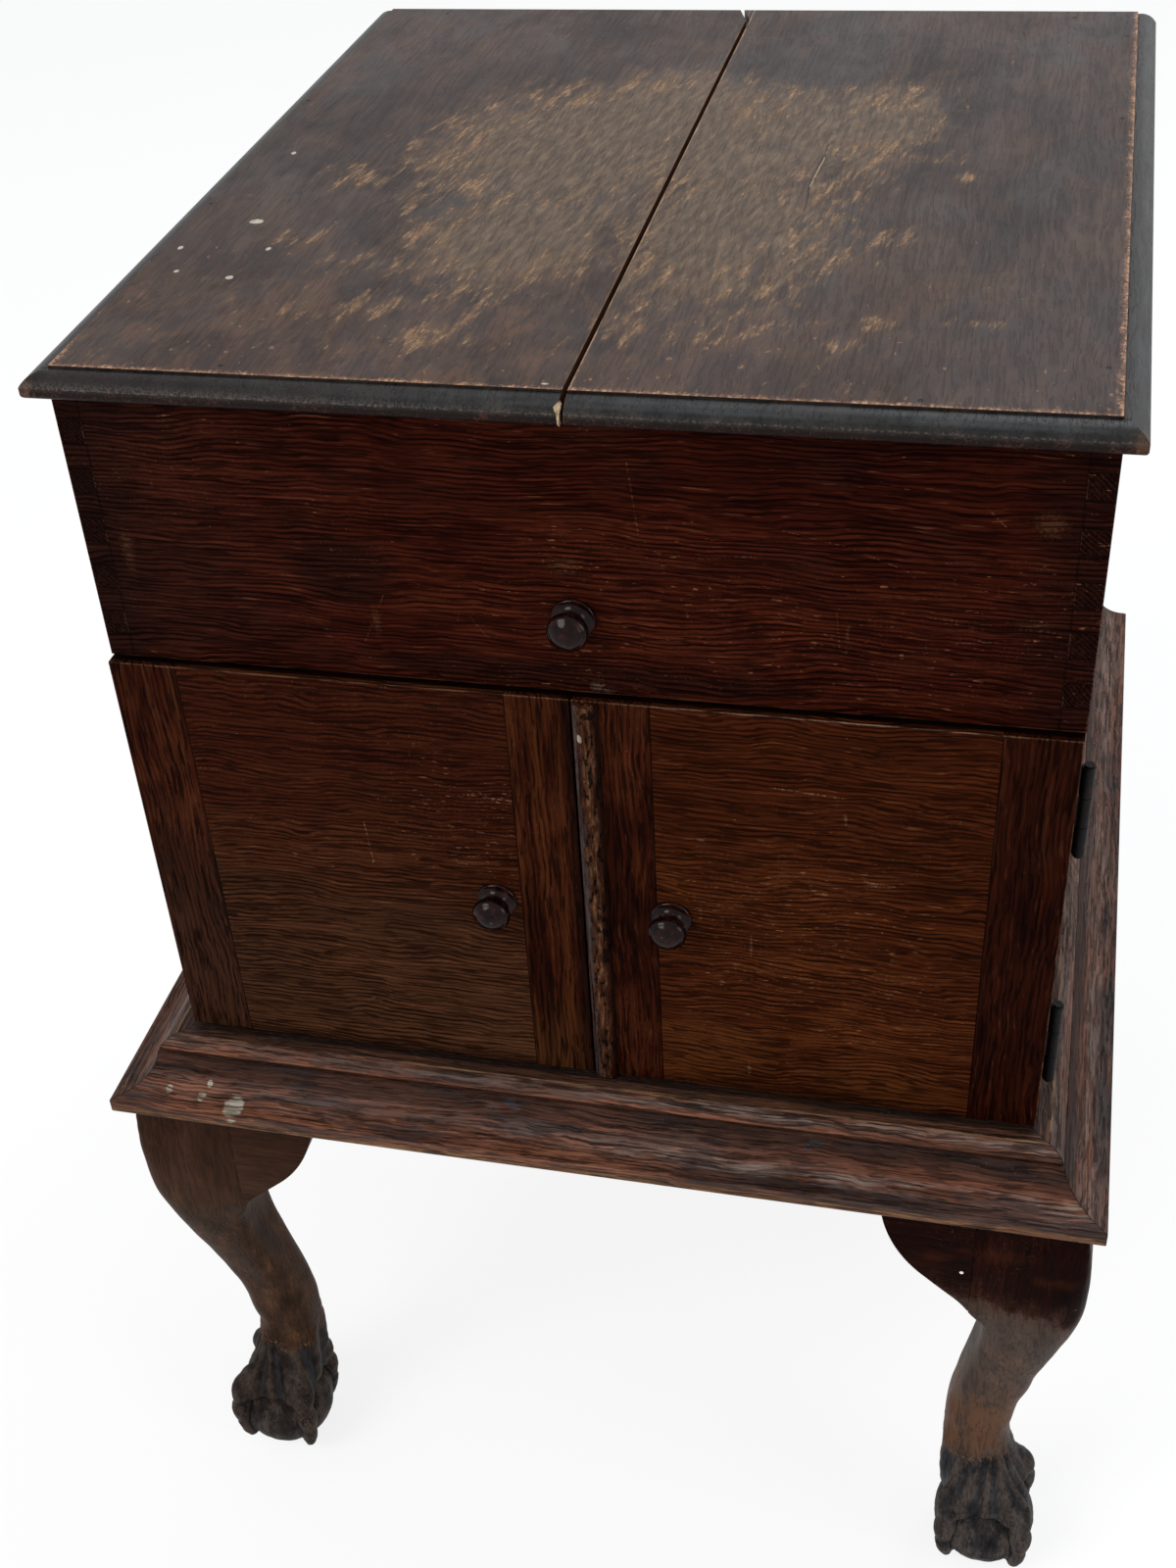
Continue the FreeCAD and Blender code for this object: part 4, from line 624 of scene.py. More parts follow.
def strip_finish():
    g = Wood("meeting_strip", "z", 23.1, 4, 1.2).stain(STILE, 0.7, 0.4, 0.9, 0.5, 0.3)
    lean = g.math("MULTIPLY_ADD", g.less(g.mottle, 0.5), 7, g.x)
    raw = g.times(g.span(lean, 3.8, 6.4), g.span(lean, 12, 9.4))
    tint = ((0.36, (0.016, 0.005, 0.0022)), (0.5, (0.048, 0.018, 0.0075)), (0.66, (0.12, 0.055, 0.026)))
    g.colour = g.mix(g.times(raw, 0.85), g.colour, g.ramp(g.fleck, tint))
    # painted highlight on the bead's left flank, with grey dust
    grey = g.times(g.span(lean, 5.6, 3), g.span(g.fine, 0.36, 0.54))
    g.over(grey, (0.05, 0.042, 0.039), 0.75)
    # painted shade on the bead's right flank
    g.over(g.span(g.x, 10.6, 12.6), (0.005, 0.0018, 0.0012), 0.8)
    pit = g.pattern((0.42, 0.42, 0.16), 2, 0.5)
    g.over(g.times(g.span(pit, 0.56, 0.62), g.span(g.x, 3.6, 5.2)), (0.003, 0.0015, 0.001), 0.9)
    spot = g.blobs(on_front(-254, [(4.6, 596, 1.6, 3)], 9), g.grit, 0.8)
    g.over(g.span(spot, 0.1, 0.4), (0.36, 0.3, 0.24), 0.8)
    g.over(g.times(g.span(g.z, 613.4, 614.2), g.span(g.y, -252, -254)), (0.12, 0.1, 0.088), 0.8)
    g.dint(g.span(pit, 0.58, 0.66), 2.5)
    return g.done(0.03, 0.0005)


# Stand: streaks of red-brown and charcoal, worn where the mouldings stand proud, with painted highlight on
# their crests

PLINTH_SPOTS = [((-197.8, -286, 348.4), (6.2, 8.5, 8)), ((-217.8, -282, 349.5), (2.6, 3, 5)),
                ((-237.7, -280.5, 350.3), (2.4, 2.6, 5)), ((-214.5, -275.7, 353.6), (1.6, 1.8, 5))]


def stand_finish(node, grain, seed):
    g = Wood(node, grain, seed, 7, 2.4).stain(STAND, 0.75, 0.6, 0.8, 0.42, 0.35, 0.4, 2.6)
    side = g.less(STAND_SIDE, g.size(g.x))
    front = g.plus(g.y, STAND_FRONT)
    inset = g.least(side, front)
    # charcoal islands, foxy patches, black checks and pale streaks, all along the grain; on the crests the
    # pale streaks are painted highlight as well as rubbed fibres
    island = g.blend(g.field(0.012, 0.085, 4, 0.65), g.fleck, 0.75)
    flank = "left" in node or "right" in node
    g.over(g.span(island, 0.5, 0.56), (0.03, 0.0245, 0.024), 0.66)
    g.over(g.span(island, 0.46, 0.38), (0.135, 0.041, 0.018), 0.25 if flank else 0.5)
    if flank:
        g.over(g.span(g.cloud, 0.4, 0.58), (0.058, 0.041, 0.035), 0.55)
    rub = g.blend(g.field(0.02, 0.34, 4, 0.68), g.mottle, 0.75)
    check = g.times(g.span(g.field(0.022, 0.55, 3, 0.6), 0.565, 0.62), g.span(g.cloud, 0.36, 0.52))
    if node.startswith("plinth"):
        # painted shade in the top of the cove, under the bead's lip, with some grime
        g.over(g.span(inset, 15.5, 21.5), (0.01, 0.0042, 0.003), 0.66)
        # painted highlight along the nose's crest, streaked like rubbed fibres
        crest_highlight = g.times(g.span(inset, 5.5, 9), g.span(inset, 17, 12.5))
        crest_highlight = g.times(crest_highlight, g.span(g.x, -80, 60, 0.25, 1))
        g.over(g.times(crest_highlight, g.span(rub, 0.44, 0.58)), (0.205, 0.152, 0.128), 0.42 if flank else 0.7)
        hole = on_front(-270, [(-42.6, 363.4, 4.6, 3.4), (-39, 361, 2.6, 2.4), (121, 362.5, 4.6, 3.4),
                               (117, 360, 2.6, 2.4)], 9) + on_front(-272, [(-52, 359.5, 4, 1.6)], 9)
        hole = g.blobs(hole, g.grit, 1.8)
        g.over(g.span(hole, 0, 0.6), (0.04, 0.04, 0.046), 0.7)
        g.over(g.span(hole, 0.75, 1), (0.003, 0.002, 0.002), 0.8)
        foot = g.span(g.stray(g.z, g.mottle, 9), 346, 341.5)
        g.over(foot, (0.105, 0.046, 0.018), 0.6)
        g.over(g.times(foot, g.span(rub, 0.48, 0.6)), (0.24, 0.13, 0.056), 0.7)
        g.over(check, (0.006, 0.003, 0.0022), 0.75)
        paint = g.times(g.span(g.blobs(PLINTH_SPOTS, g.fleck, 0.9), 0.02, 0.22), 0.92)
        g.colour = g.mix(paint, g.colour, g.ramp(g.fleck, ((0.4, (0.2, 0.17, 0.125)), (0.6, PAINT))))
    else:
        g.over(g.span(inset, 31, 32.4), (0.034, 0.017, 0.0095), 0.6)
        g.over(g.times(g.span(g.x, 60, -60), g.span(g.mottle, 0.4, 0.56)), (0.034, 0.0145, 0.0098), 0.55)
        # painted highlight along the bead's crest, streaked like rubbed fibres
        crest_highlight = g.times(g.span(inset, 25.6, 27.2), g.span(inset, 33, 30.6))
        crest_highlight = g.times(crest_highlight, g.span(g.x, -120, 120, 0.4, 1))
        g.over(g.times(crest_highlight, g.span(rub, 0.43, 0.57)), (0.17, 0.122, 0.098), 0.4 if flank else 0.7)
        line = g.stray(g.size(g.less(inset, 31.9)), g.mottle, 2.6)
        g.over(g.span(line, 0.9, 0.1), (0.22, 0.12, 0.062), 0.75)
        g.worn_edge(g.less(inset, 24.2), 1.5, (0.15, 0.058, 0.03), 0.7, 2.4)
        g.over(check, (0.006, 0.003, 0.0022), 0.75)
        # painted shadow under the doors' feet
        g.over(g.span(inset, 36.6, 39.6), (0.005, 0.0025, 0.0018), 0.85)
    g.over(g.span(g.size(g.less(side, front)), 0.7, 0.15), (0.004, 0.002, 0.002), 0.85)
    g.dint(check, 0.8)
    g.scuffs((0.2, 0.115, 0.07), 0.4, seed, 0.5)
    return g.done(0.09, 0.0007)


for index, node in enumerate(("bead_front", "bead_left", "bead_right", "plinth_front", "plinth_left",
                              "plinth_right", "plinth_back")):
    dress(node, stand_finish(node, "y" if "left" in node or "right" in node else "x", 31.7 + index))


# Legs and their ears: dark posts, foxed or bare shanks and near-black feet, each as tones from the darkest

RIGHT_LEG = (
    ((0.002, 0.0004, 0.0002), (0.0068, 0.001, 0.0005), (0.018, 0.0032, 0.0011), (0.05, 0.014, 0.005)),
    ((0.04, 0.026, 0.02), (0.064, 0.0415, 0.0315), (0.088, 0.058, 0.044)),
    ((0.009, 0.0086, 0.0094), (0.024, 0.0215, 0.022), (0.058, 0.05, 0.048)),
)
LEFT_LEG = (
    ((0.014, 0.0054, 0.003), (0.026, 0.0106, 0.006), (0.042, 0.018, 0.0103), (0.07, 0.034, 0.02)),
    ((0.019, 0.0096, 0.0054), (0.038, 0.0188, 0.0106), (0.06, 0.03, 0.0165)),
    ((0.008, 0.006, 0.0053), (0.02, 0.0152, 0.0134), (0.052, 0.04, 0.034)),
)


def leg_finish(name, right, front, grain, seed):
    post, shank, coal = RIGHT_LEG if right else LEFT_LEG
    g = Wood(name, grain, seed, 8, 2).stain(post, 0.95, 0.3, 0.9, 0.42, 0.12)
    ragged = g.stray(g.swing(g.mottle, 46), g.grit, 14)
    height = g.plus(g.z, ragged)
    if right:
        height = g.plus(height, g.times(g.less(g.size(g.x), 233), 0.22))
    below = g.span(height, 274, 264) if right else g.span(height, 330, 235)
    tone = g.blend(g.cloud, g.mottle, 0.5)
    tone = g.stray(tone, g.grit, 0.25)
    tone = g.ramp(tone, ((0.38, shank[0]), (0.5, shank[1]), (0.62, shank[2])))
    g.colour = g.mix(below, g.colour, tone)
    if right:
        fringe = g.span(g.size(g.less(height, 272)), 13, 2)
        g.over(g.times(fringe, g.span(g.grit, 0.38, 0.58)), (0.04, 0.013, 0.007), 0.6)
    if right and front:
        g.over(g.times(below, g.span(g.x, 226, 205)), (0.03, 0.02, 0.0155), 0.55)
    rust = g.times(g.span(height, 205, 130), g.span(g.z, 88, 104))
    speck = g.blend(g.mottle, g.grit, 0.6)
    spread = g.span(g.plus(g.cloud, speck), 0.9, 1.12)
    g.over(g.times(rust, spread), (0.105, 0.044, 0.02) if right else (0.076, 0.032, 0.013), 0.66)
    g.over(g.times(rust, g.span(speck, 0.55, 0.62)), (0.026, 0.013, 0.0085), 0.6)
    fleck = g.times(g.span(speck, 0.575, 0.61), g.span(g.z, 262, 215))
    g.over(g.times(fleck, g.span(g.z, 96, 104)), (0.13, 0.058, 0.025), 0.4)
    # the foot: near black in the hollows, brown-grey along the tendons, rubbed on the claws
    ankle = g.plus(g.z, g.times(ragged, 0.4))
    foot = g.span(ankle, 98, 89)
    coal = g.ramp(g.mottle, ((0.34, coal[0]), (0.52, coal[1]), (0.68, coal[2])))
    g.colour = g.mix(foot, g.colour, coal)
    rim = g.size(g.less(ankle, 95))
    g.over(g.times(g.span(rim, 3, 0.5), g.span(g.grit, 0.52, 0.64)), (0.19, 0.105, 0.055), 0.6)
    u = g.less(g.size(g.x), BALL_X)
    v = g.less(g.size(g.y), BALL_Y)
    wide = g.vector("LENGTH", g.join(u, v, 0))
    away = g.vector("LENGTH", g.join(u, v, g.less(g.z, BALL_Z)))
    face = g.math("PINGPONG", g.plus(g.math("ARCTAN2", v, u), math.tau), math.tau / 8)
    outside = g.times(foot, g.span(away, 31, 32.4))
    tendon = g.most(g.span(face, 0.13, 0.05), g.span(g.size(g.less(face, 0.56)), 0.18, 0.06))
    worn = g.times(outside, tendon, g.span(speck, 0.4, 0.54))
    g.over(worn, (0.066, 0.05, 0.04) if right else (0.045, 0.031, 0.023), 0.62)
    hollow = g.times(g.span(g.size(g.less(face, 0.31)), 0.12, 0.03), g.span(g.z, 50, 60))
    g.over(g.times(outside, hollow, g.span(g.z, 96, 84)), (0.022, 0.024, 0.028), 0.7)
    reach = g.stray(wide, g.grit, 9)
    proud = g.times(g.span(reach, 34, 38), g.span(g.z, 80, 60))
    g.over(g.times(proud, g.span(g.grit, 0.48, 0.6)), (0.095, 0.06, 0.038), 0.5)
    tips = g.span(g.plus(g.z, g.times(ragged, 0.2)), 14, 5)
    g.over(g.times(tips, g.span(wide, 25, 30)), (0.15, 0.092, 0.055), 0.5)
    # painted shade in the crease where the web's rim meets the ball
    crease = g.span(g.size(g.less(away, 31.3)), 1.1, 0.3)
    g.over(g.times(crease, g.span(g.z, 8, 14)), (0.003, 0.0025, 0.0025), 0.85)
    on_ball = g.times(g.span(away, 30.9, 30.3), g.span(speck, 0.5, 0.6))
    g.over(on_ball, (0.07, 0.051, 0.037) if right else (0.05, 0.037, 0.028), 0.55)
    if right and front:
        knot = g.blobs([((229.5, -271, 133), (4.2, 12, 6.5))], g.grit, 1.4)
        g.over(g.span(knot, 0, 0.5), (0.014, 0.008, 0.006), 0.85)
        g.dint(g.span(knot, 0, 0.6), 1.5)
        glow = on_front(-285, [(222, 310, 34, 9), (248, 297, 22, 7), (186, 304, 22, 7)])
        g.over(g.span(g.blobs(glow, g.mottle, 1.8), 0.2, 1.3), (0.044, 0.01, 0.003), 0.42)
        spot = g.blobs(on_front(-285, [(200.5, 295, 1.2, 1.2)], 9))
        g.over(g.span(spot, 0, 0.3), (0.75, 0.72, 0.66))
        nick = runs_on(-284, [(206, 262, 224, 260), (226, 288, 262, 276)])
        nick = g.span(g.lines(nick + runs_on(-283, [(226, 221, 232, 219)])), 0.8, 0.1)
        g.over(g.times(nick, g.span(g.grit, 0.42, 0.56)), (0.12, 0.072, 0.042), 0.65)
    side = g.less(KNEE_SIDE, g.size(g.x))
    front_gap = g.less(KNEE_FRONT, g.size(g.y))
    corner = g.plus(g.most(side, front_gap), g.size(g.less(side, front_gap)))
    g.worn_edge(g.plus(corner, g.span(g.z, 240, 262, 9, 0)), 7, (0.15, 0.062, 0.028), 0.55, 7)
    g.scuffs((0.13, 0.078, 0.046), 0.4, seed, 0.5)
    g.dint(g.mottle, 0.4)
    return g.done(0.02, 0.0005)


CORNERS = [("front_left", False, True, 41.9), ("front_right", True, True, 42.9),
           ("back_left", False, False, 43.9), ("back_right", True, False, 44.9)]
LEG_FINISH = {}
for corner, right_side, front_side, seed in CORNERS:
    for word, grain, step in (("leg_", "z", 0), ("ear_", "x", 10), ("side_ear_", "y", 20)):
        finish = leg_finish(word + corner, right_side, front_side, grain, seed + step)
        dress(word + corner, finish)
        if word == "leg_":
            LEG_FINISH[corner] = finish


def pine_finish(node, grain, seed):
    g = Wood(node, grain, seed).stain(PINE, 0.6, 0.5, 0.7, 0.6, 0.2, 0.25, 4.5)
    return g.done(0.1)


for index, node in enumerate(("case_bottom", "case_back", "deck_board", "top_rail", "deck_left_cleat",
                              "deck_right_cleat")):
    dress(node, pine_finish(node, "y" if "cleat" in node else "x", 61.1 + index))


def knob_finish():
    g = Graph("knob_finish")
    blotch = g.noise(g.mm, 0.22, 4, 0.6)
    dark, middle, pale = (0.0022, 0.0006, 0.0006), (0.0085, 0.0022, 0.0017), (0.028, 0.0085, 0.0055)
    colour = g.ramp(blotch, ((0.35, dark), (0.55, middle), (0.72, pale)))
    chip = g.pattern((0.5, 0.9, 0.5), 2, 0.5)
    colour = g.mix(g.span(chip, 0.72, 0.76), colour, (0.07, 0.038, 0.026))
    return g.finish(colour, g.span(blotch, 0.3, 0.7, 0.07, 0.15), blotch, 0.0001, Specular_IOR_Level=0.11)


def metal_finish(name, dark, light, rough, rust=None):
    g = Graph(name)
    blotch = g.noise(g.mm, 0.25, 5, 0.65)
    grit = g.noise(g.mm, 1.6, 3, 0.6)
    colour = g.mix(blotch, dark, light)
    if rust:
        colour = g.mix(g.span(blotch, 0.56, 0.68), colour, rust)
    return g.finish(colour, g.span(grit, 0.3, 0.7, rough - 0.1, rough + 0.15), grit, 0.0001, Metallic=0.85)


KNOB = knob_finish()
IRON = metal_finish("black_iron", (0.0035, 0.003, 0.003), (0.014, 0.0125, 0.012), 0.6, (0.03, 0.011, 0.006))
BRASS = metal_finish("aged_brass", (0.16, 0.1, 0.035), (0.42, 0.29, 0.11), 0.38)
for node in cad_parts:
    if "knob" in node:
        dress(node, KNOB)
    elif "leaves" in node or "pins" in node or node == "quadrant_guide":
        dress(node, IRON)
    elif node == "lid_quadrant" or "catch" in node or "strike" in node:
        dress(node, BRASS)


# Carved pieces: the CAD solid, remeshed finely, with the carving worked into its skin

def smooth_step(low, high, value):
    share = np.clip((value - low) / (high - low), 0, 1)
    return share * share * (3 - 2 * share)


def bell(value, centre, width):
    return np.exp(-((value - centre) / width) ** 2)


def remeshed(node, name, voxel, rounds):
    """A fine, even copy of a node's solid, in metres, slightly smoothed."""
    thing = bpy.data.objects.new(name + "_rough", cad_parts[node].data.copy())
    bpy.context.collection.objects.link(thing)
    even = thing.modifiers.new("even", "REMESH")
    even.mode = "VOXEL"
    even.voxel_size = voxel
    soft = thing.modifiers.new("soft", "SMOOTH")
    soft.factor = 0.5
    soft.iterations = rounds
    graph = bpy.context.evaluated_depsgraph_get()
    mesh = bpy.data.meshes.new_from_object(thing.evaluated_get(graph))
    bpy.data.objects.remove(thing)
    mesh.name = name
    return mesh


def skin(mesh):
    count = len(mesh.vertices)
    spots = np.empty(count * 3)
    ways = np.empty(count * 3)
    mesh.vertices.foreach_get("co", spots)
    mesh.vertices.foreach_get("normal", ways)
    return spots.reshape(-1, 3) * 1000, ways.reshape(-1, 3)


def set_skin(mesh, spots):
    mesh.vertices.foreach_set("co", (spots / 1000).ravel())
    mesh.update()


def put_skin(mesh, body, material, nodes):
    mesh.materials.clear()
    mesh.materials.append(material)
    mesh.polygons.foreach_set("use_smooth", [True] * len(mesh.polygons))
    mesh.update()
    piece = bpy.data.objects.new(mesh.name, mesh)
    bpy.context.collection.objects.link(piece)
    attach(piece, body)
    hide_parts(*nodes)


def wrinkle(spots, size, seed):
    return np.array([noise.noise(Vector(spot / size) + Vector((seed, seed, seed))) for spot in spots])


def eased(mesh, weight, rounds):
    """Relax a mesh where the weight is above 0."""
    spots = skin(mesh)[0]
    share = weight(spots) * 0.6
    ends = np.empty(len(mesh.edges) * 2, dtype=np.int64)
    mesh.edges.foreach_get("vertices", ends)
    one, two = ends.reshape(-1, 2).T
    near = share[one] + share[two] > 0
    one, two = one[near], two[near]
    count = len(spots)
    touch = np.maximum(np.bincount(one, minlength=count) + np.bincount(two, minlength=count), 1)
    for turn in range(rounds):
        for axis in range(3):
            line = spots[:, axis]
            mean = (np.bincount(one, line[two], count) + np.bincount(two, line[one], count)) / touch
            spots[:, axis] = line + share * (mean - line)
    set_skin(mesh, spots)


def outer_knee(spots):
    """1 on the outer faces at the knee, 0 on the faces that meet the ears."""
    z = spots[:, 2]
    out = smooth_step(-17, -8, np.minimum(np.abs(spots[:, 0]) - POST_X, np.abs(spots[:, 1]) - POST_Y))
    return smooth_step(165, 205, z) * (1 - smooth_step(250, 330, z)) * out


def plump(mesh, calf):
    """Fill the hollow below the knee on the outer faces, and the calf by so many mm."""
    spots, ways = skin(mesh)
    side, front = (ways[:, axis] * np.sign(spots[:, axis]) for axis in (0, 1))
    out = smooth_step(0.2, 0.8, np.maximum(side, front))
    z = spots[:, 2]
    fill = outer_knee(spots) * (1.2 + 2.6 * bell(z, 242, 16)) + calf * bell(z, 165, 20)
    spots += ways * (out * fill)[:, None]
    set_skin(mesh, spots)


def sharpen(spots):
    """Bring the post's arrises back where an ear butts against it, so that the joint stays fine."""
    crown = np.interp(spots[:, 2], (262, 283, 300, 320, 338), (34, 34.8, 34.3, 32.4, 29.5))
    for butt, flush, at, face in ((0, 1, POST_X - POST_HALF, POST_Y + crown),
                                  (1, 0, POST_Y - POST_HALF, POST_X + crown)):
        into = np.abs(spots[:, butt]) - at
        back = face - np.abs(spots[:, flush])
        near = (spots[:, 2] > 264) & (into < 2.2) & (back < 2.2)
        flat = near & (into < np.maximum(back, 1.1))
        spots[flat, butt] = np.sign(spots[flat, butt]) * at
        flat = near & (back < np.maximum(into, 1.1))
        spots[flat, flush] = np.sign(spots[flat, flush]) * face[flat]


def carve_leg(corner, seed):
    node = "leg_" + corner
    mesh = remeshed(node, node + "_carved", 1.2 * MM, 3)
    plump(mesh, 2.4 if corner == "front_right" else 0.8)
    eased(mesh, outer_knee, 220)
    spots, ways = skin(mesh)
    sharpen(spots)
    u = np.abs(spots[:, 0]) - BALL_X
    v = np.abs(spots[:, 1]) - BALL_Y
    z = spots[:, 2]
    turn = np.degrees(np.arctan2(v, u))
    face = (turn + 45) % 90 - 45
    off = smooth_step(30.6, 32.2, np.sqrt(u * u + v * v + (z - BALL_Z) ** 2))
    web = smooth_step(50, 60, z) * (1 - smooth_step(88, 106, z))
    toe = smooth_step(24, 33, np.abs(face)) * off
    move = web * off * (-2.3 * bell(np.abs(face), 18, 7.5) + bell(face, 0, 5.5))
    move += toe * (bell(z, 60, 6) - 0.9 * bell(z, 49, 3) + 0.7 * bell(z, 41, 5) - bell(z, 29, 2.2))
    move += toe * web * 0.8
    foot = z < ANKLE
    move[foot] += wrinkle(spots[foot], 7, seed) * 0.55 + wrinkle(spots[foot], 2.8, seed + 5) * 0.22
    wave = wrinkle(spots[~foot], 17, seed + 9) * 0.35
    move[~foot] += wave * (1 - smooth_step(325, 336, z[~foot]))
    spots += ways * move[:, None]
    spots[:, 2] = np.clip(spots[:, 2], 0, POST_TOP)
    set_skin(mesh, spots)
    put_skin(mesh, "case", LEG_FINISH[corner], [node])


def wear_strip():
    """The meeting bead's crown, pitted and dented by knocks."""
    mesh = remeshed("right_door_meeting_bead", "meeting_bead_worn", 0.6 * MM, 2)
    spots, ways = skin(mesh)
    crown = smooth_step(-252, -254.5, spots[:, 1])
    dents = np.clip(wrinkle(spots * (1, 1, 0.45), 4.2, 3.1) - 0.12, 0, 1)
    pits = np.clip(wrinkle(spots * (1, 1, 0.6), 1.7, 8.3) - 0.22, 0, 1)
    spots -= ways * (crown * (dents * 1.7 + pits * 1.5))[:, None]
    set_skin(mesh, spots)
    put_skin(mesh, "right_door", strip_finish(), ["right_door_meeting_bead"])


for corner, right_side, front_side, seed in CORNERS:
    carve_leg(corner, seed)
wear_strip()


# Torn end grain where the lid's moulding broke at the crack

def torn_end():
    g = Graph("torn_wood")
    fibre = g.pattern((2, 0.3, 0.4), 3, 0.6)
    dark, middle, pale = (0.105, 0.066, 0.036), (0.24, 0.165, 0.092), (0.4, 0.3, 0.18)
    finish = g.finish(g.ramp(fibre, ((0.35, dark), (0.5, middle), (0.65, pale))), 0.8, fibre, 0.0003)
    # outline of the tear in x and z on the nose of the left board, and how far it stands out
    rim = [(3.6, 762.7, 0.1), (1.9, 761.3, 0.3), (2.8, 760.2, 0.5), (3.5, 759.5, 0.5), (3.75, 757, 0.5),
           (3.7, 754.4, 0.4), (4, 753.3, 0.2), (4.6, 753.5, 0.3), (4.7, 756, 0.6), (4.75, 759.4, 0.6),
           (5.15, 760.7, 0.4), (4.95, 761.7, 0.3)]
    nose_y, nose_z, nose_radius = -245.07, 753.68, 10.2
    shape = bmesh.new()
    front = []
    for x, z, out in rim:
        nose = math.sqrt(nose_radius ** 2 - (max(z, NOSE_TOP) - nose_z) ** 2)
        y = nose_y - nose + max(755 - z, 0) * 0.7 - out
        front.append(shape.verts.new((x * MM, y * MM, z * MM)))
    # pairs of points across the tear, from its top down
    rungs = ((0, 11), (1, 10), (2, 10), (3, 9), (4, 8), (5, 7), (6, 7))
    for (left, right), (low_left, low_right) in zip(rungs, rungs[1:]):
        loop = dict.fromkeys((left, low_left, low_right, right))
        shape.faces.new([front[end] for end in loop])
    made = bmesh.ops.extrude_face_region(shape, geom=list(shape.faces))
    for vert in [item for item in made["geom"] if isinstance(item, bmesh.types.BMVert)]:
        vert.co.y += 2.6 * MM
    bmesh.ops.subdivide_edges(shape, edges=list(shape.edges), cuts=2, use_grid_fill=True)
    for vert in shape.verts:
        spot = vert.co * 1000
        vert.co.y -= abs(noise.noise(Vector((spot.x * 1.8, spot.z * 0.5, 2)))) * 0.5 * MM
    bmesh.ops.recalc_face_normals(shape, faces=list(shape.faces))
    mesh = bpy.data.meshes.new("lid_torn_end")
    shape.to_mesh(mesh)
    shape.free()
    mesh.materials.append(finish)
    piece = bpy.data.objects.new("lid_torn_end", mesh)
    bpy.context.collection.objects.link(piece)
    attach(piece, "hood")


torn_end()


# Countersunk slotted screws, one mesh a body

def screws(name, body, places, out, size):
    """out is the way the heads face; size is the head's radius in mm."""
    shape = bmesh.new()
    turn = Vector(out).to_track_quat("Z", "Y").to_matrix()
    rings = [(1, -0.5), (1, 0), (0.9, 0.12), (0.5, 0.2), (0.12, 0.22)]
    sides = 20
    for number, place in enumerate(places):
        spin = number * 1.1
        levels = []
        for share, lift in rings:
            level = []
            for step in range(sides):
                angle = spin + step * math.tau / sides
                x, y = math.cos(angle) * share, math.sin(angle) * share
                slot = abs(y) < 0.16 and lift > 0.1
                high = lift - (0.3 if slot else 0)
                level.append(shape.verts.new((Vector(place) + turn @ Vector((x, y, high)) * size) * MM))
            levels.append(level)
        for low, high in zip(levels, levels[1:]):
            for step in range(sides):
                after = (step + 1) % sides
                shape.faces.new((low[step], low[after], high[after], high[step]))
        shape.faces.new(levels[-1])
        shape.faces.new(list(reversed(levels[0])))
    mesh = bpy.data.meshes.new(name)
    shape.to_mesh(mesh)
    shape.free()
    mesh.materials.append(IRON)
    piece = bpy.data.objects.new(name, mesh)
    bpy.context.collection.objects.link(piece)
    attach(piece, body)


# three screws a leaf, the middle one nearer the pin
spread = [(hinge + step, 0 if step else 3) for hinge in (-150, 150) for step in (-23, 0, 23)]
screws("case_leaf_screws", "case", [(x, 280, 603.5 + shift) for x, shift in spread], (0, 1, 0), 2.6)
screws("hood_leaf_screws", "hood", [(x, 280, 627.2 - shift) for x, shift in spread], (0, 1, 0), 2.6)


# Floor, backdrop and light

def pale_floor():
    g = Graph("pale_floor")
    g.finish((0.8, 0.8, 0.8), 0.9)
    glow = g.add("ShaderNodeEmission")
    g.put(glow.inputs[0], (1, 1, 1))
    half = g.add("ShaderNodeMixShader")
    g.put(half.inputs[0], g.times(g.seen_straight(), 0.82))
    g.put(half.inputs[1], g.shader.outputs[0])
    g.put(half.inputs[2], glow.outputs[0])
    g.put(g.out.inputs[0], half.outputs[0])
    return g.material


bpy.ops.mesh.primitive_plane_add(size=14, location=(0, 0, 0))
floor = bpy.context.object
floor.name = "floor"
floor.data.materials.append(pale_floor())

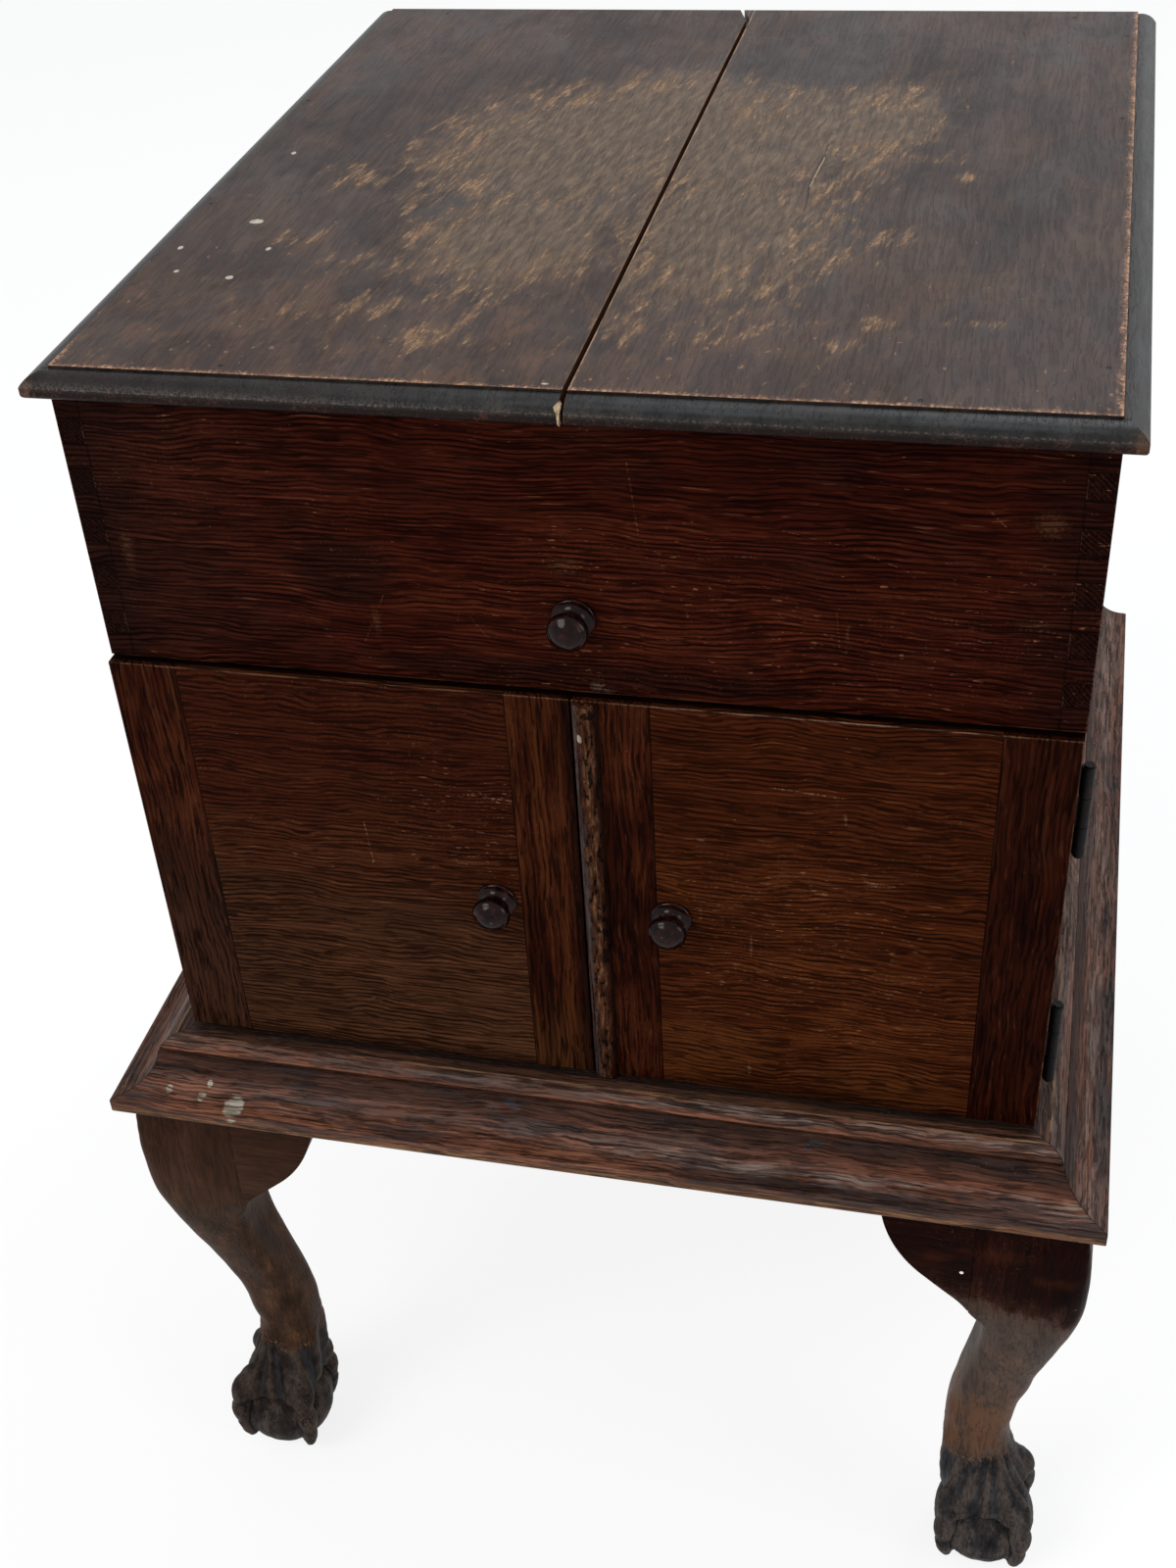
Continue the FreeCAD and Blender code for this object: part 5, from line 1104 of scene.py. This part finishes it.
world = bpy.data.worlds.new("studio")
bpy.context.scene.world = world
sky = Nodes(world)
blend = sky.add("ShaderNodeMixShader")
sky.put(blend.inputs[0], sky.seen_straight())
for socket, tint, strength in ((blend.inputs[1], (0.92, 0.95, 1), 0.75), (blend.inputs[2], (1, 1, 1), 1)):
    light = sky.add("ShaderNodeBackground")
    sky.put(light.inputs[0], tint)
    sky.put(light.inputs[1], strength)
    sky.put(socket, light.outputs[0])
sky.put(sky.add("ShaderNodeOutputWorld").inputs[0], blend.outputs[0])


def lamp(name, place, aim, size, watts, colour=(1, 1, 1)):
    data = bpy.data.lights.new(name, "AREA")
    data.shape = "DISK"
    data.size = size
    data.energy = watts
    data.color = colour
    thing = bpy.data.objects.new(name, data)
    bpy.context.collection.objects.link(thing)
    thing.location = place
    thing.rotation_euler = (Vector(aim) - Vector(place)).to_track_quat("-Z", "Y").to_euler()


lamp("key", (-1.6, -2.2, 2.6), (0, 0, 0.45), 1.8, 70, (1, 0.97, 0.93))
lamp("top", (0.6, 1.4, 2.8), (0, 0, 0.6), 1.8, 45, (0.93, 0.96, 1))
lamp("fill", (2.6, -1.2, 1.2), (0, 0, 0.4), 1.6, 22)

# Camera, solved from the photograph's corners against the frame. The first two rows are in its pixels
WIDE, TALL = 1200, 1600
CX, CY, FOCAL = 559.330846, 878.298074, 2025.819249
YAW, PITCH, ROLL = 0.28672, -0.676236, -0.081591
SPOT = Vector((198.592295, -979.714955, 1127.74915)) * MM
ahead = Vector((-math.sin(YAW) * math.cos(PITCH), math.cos(YAW) * math.cos(PITCH), math.sin(PITCH)))
right = Vector((math.cos(YAW), math.sin(YAW), 0))
up = right.cross(ahead)
across = math.cos(ROLL) * right + math.sin(ROLL) * up
above = -math.sin(ROLL) * right + math.cos(ROLL) * up
eye = bpy.data.cameras.new("camera")
camera = bpy.data.objects.new("camera", eye)
bpy.context.collection.objects.link(camera)
turn = Matrix((across, above, -ahead)).transposed().to_4x4()
camera.matrix_world = Matrix.Translation(SPOT) @ turn
eye.sensor_fit = "AUTO"
eye.sensor_width = 36
eye.lens = FOCAL * 36 / TALL
eye.shift_x = (WIDE / 2 - CX) / TALL
eye.shift_y = (CY - TALL / 2) / TALL
eye.clip_start = 0.05
eye.clip_end = 50
bpy.context.scene.camera = camera
bpy.context.scene.view_settings.view_transform = "Standard"
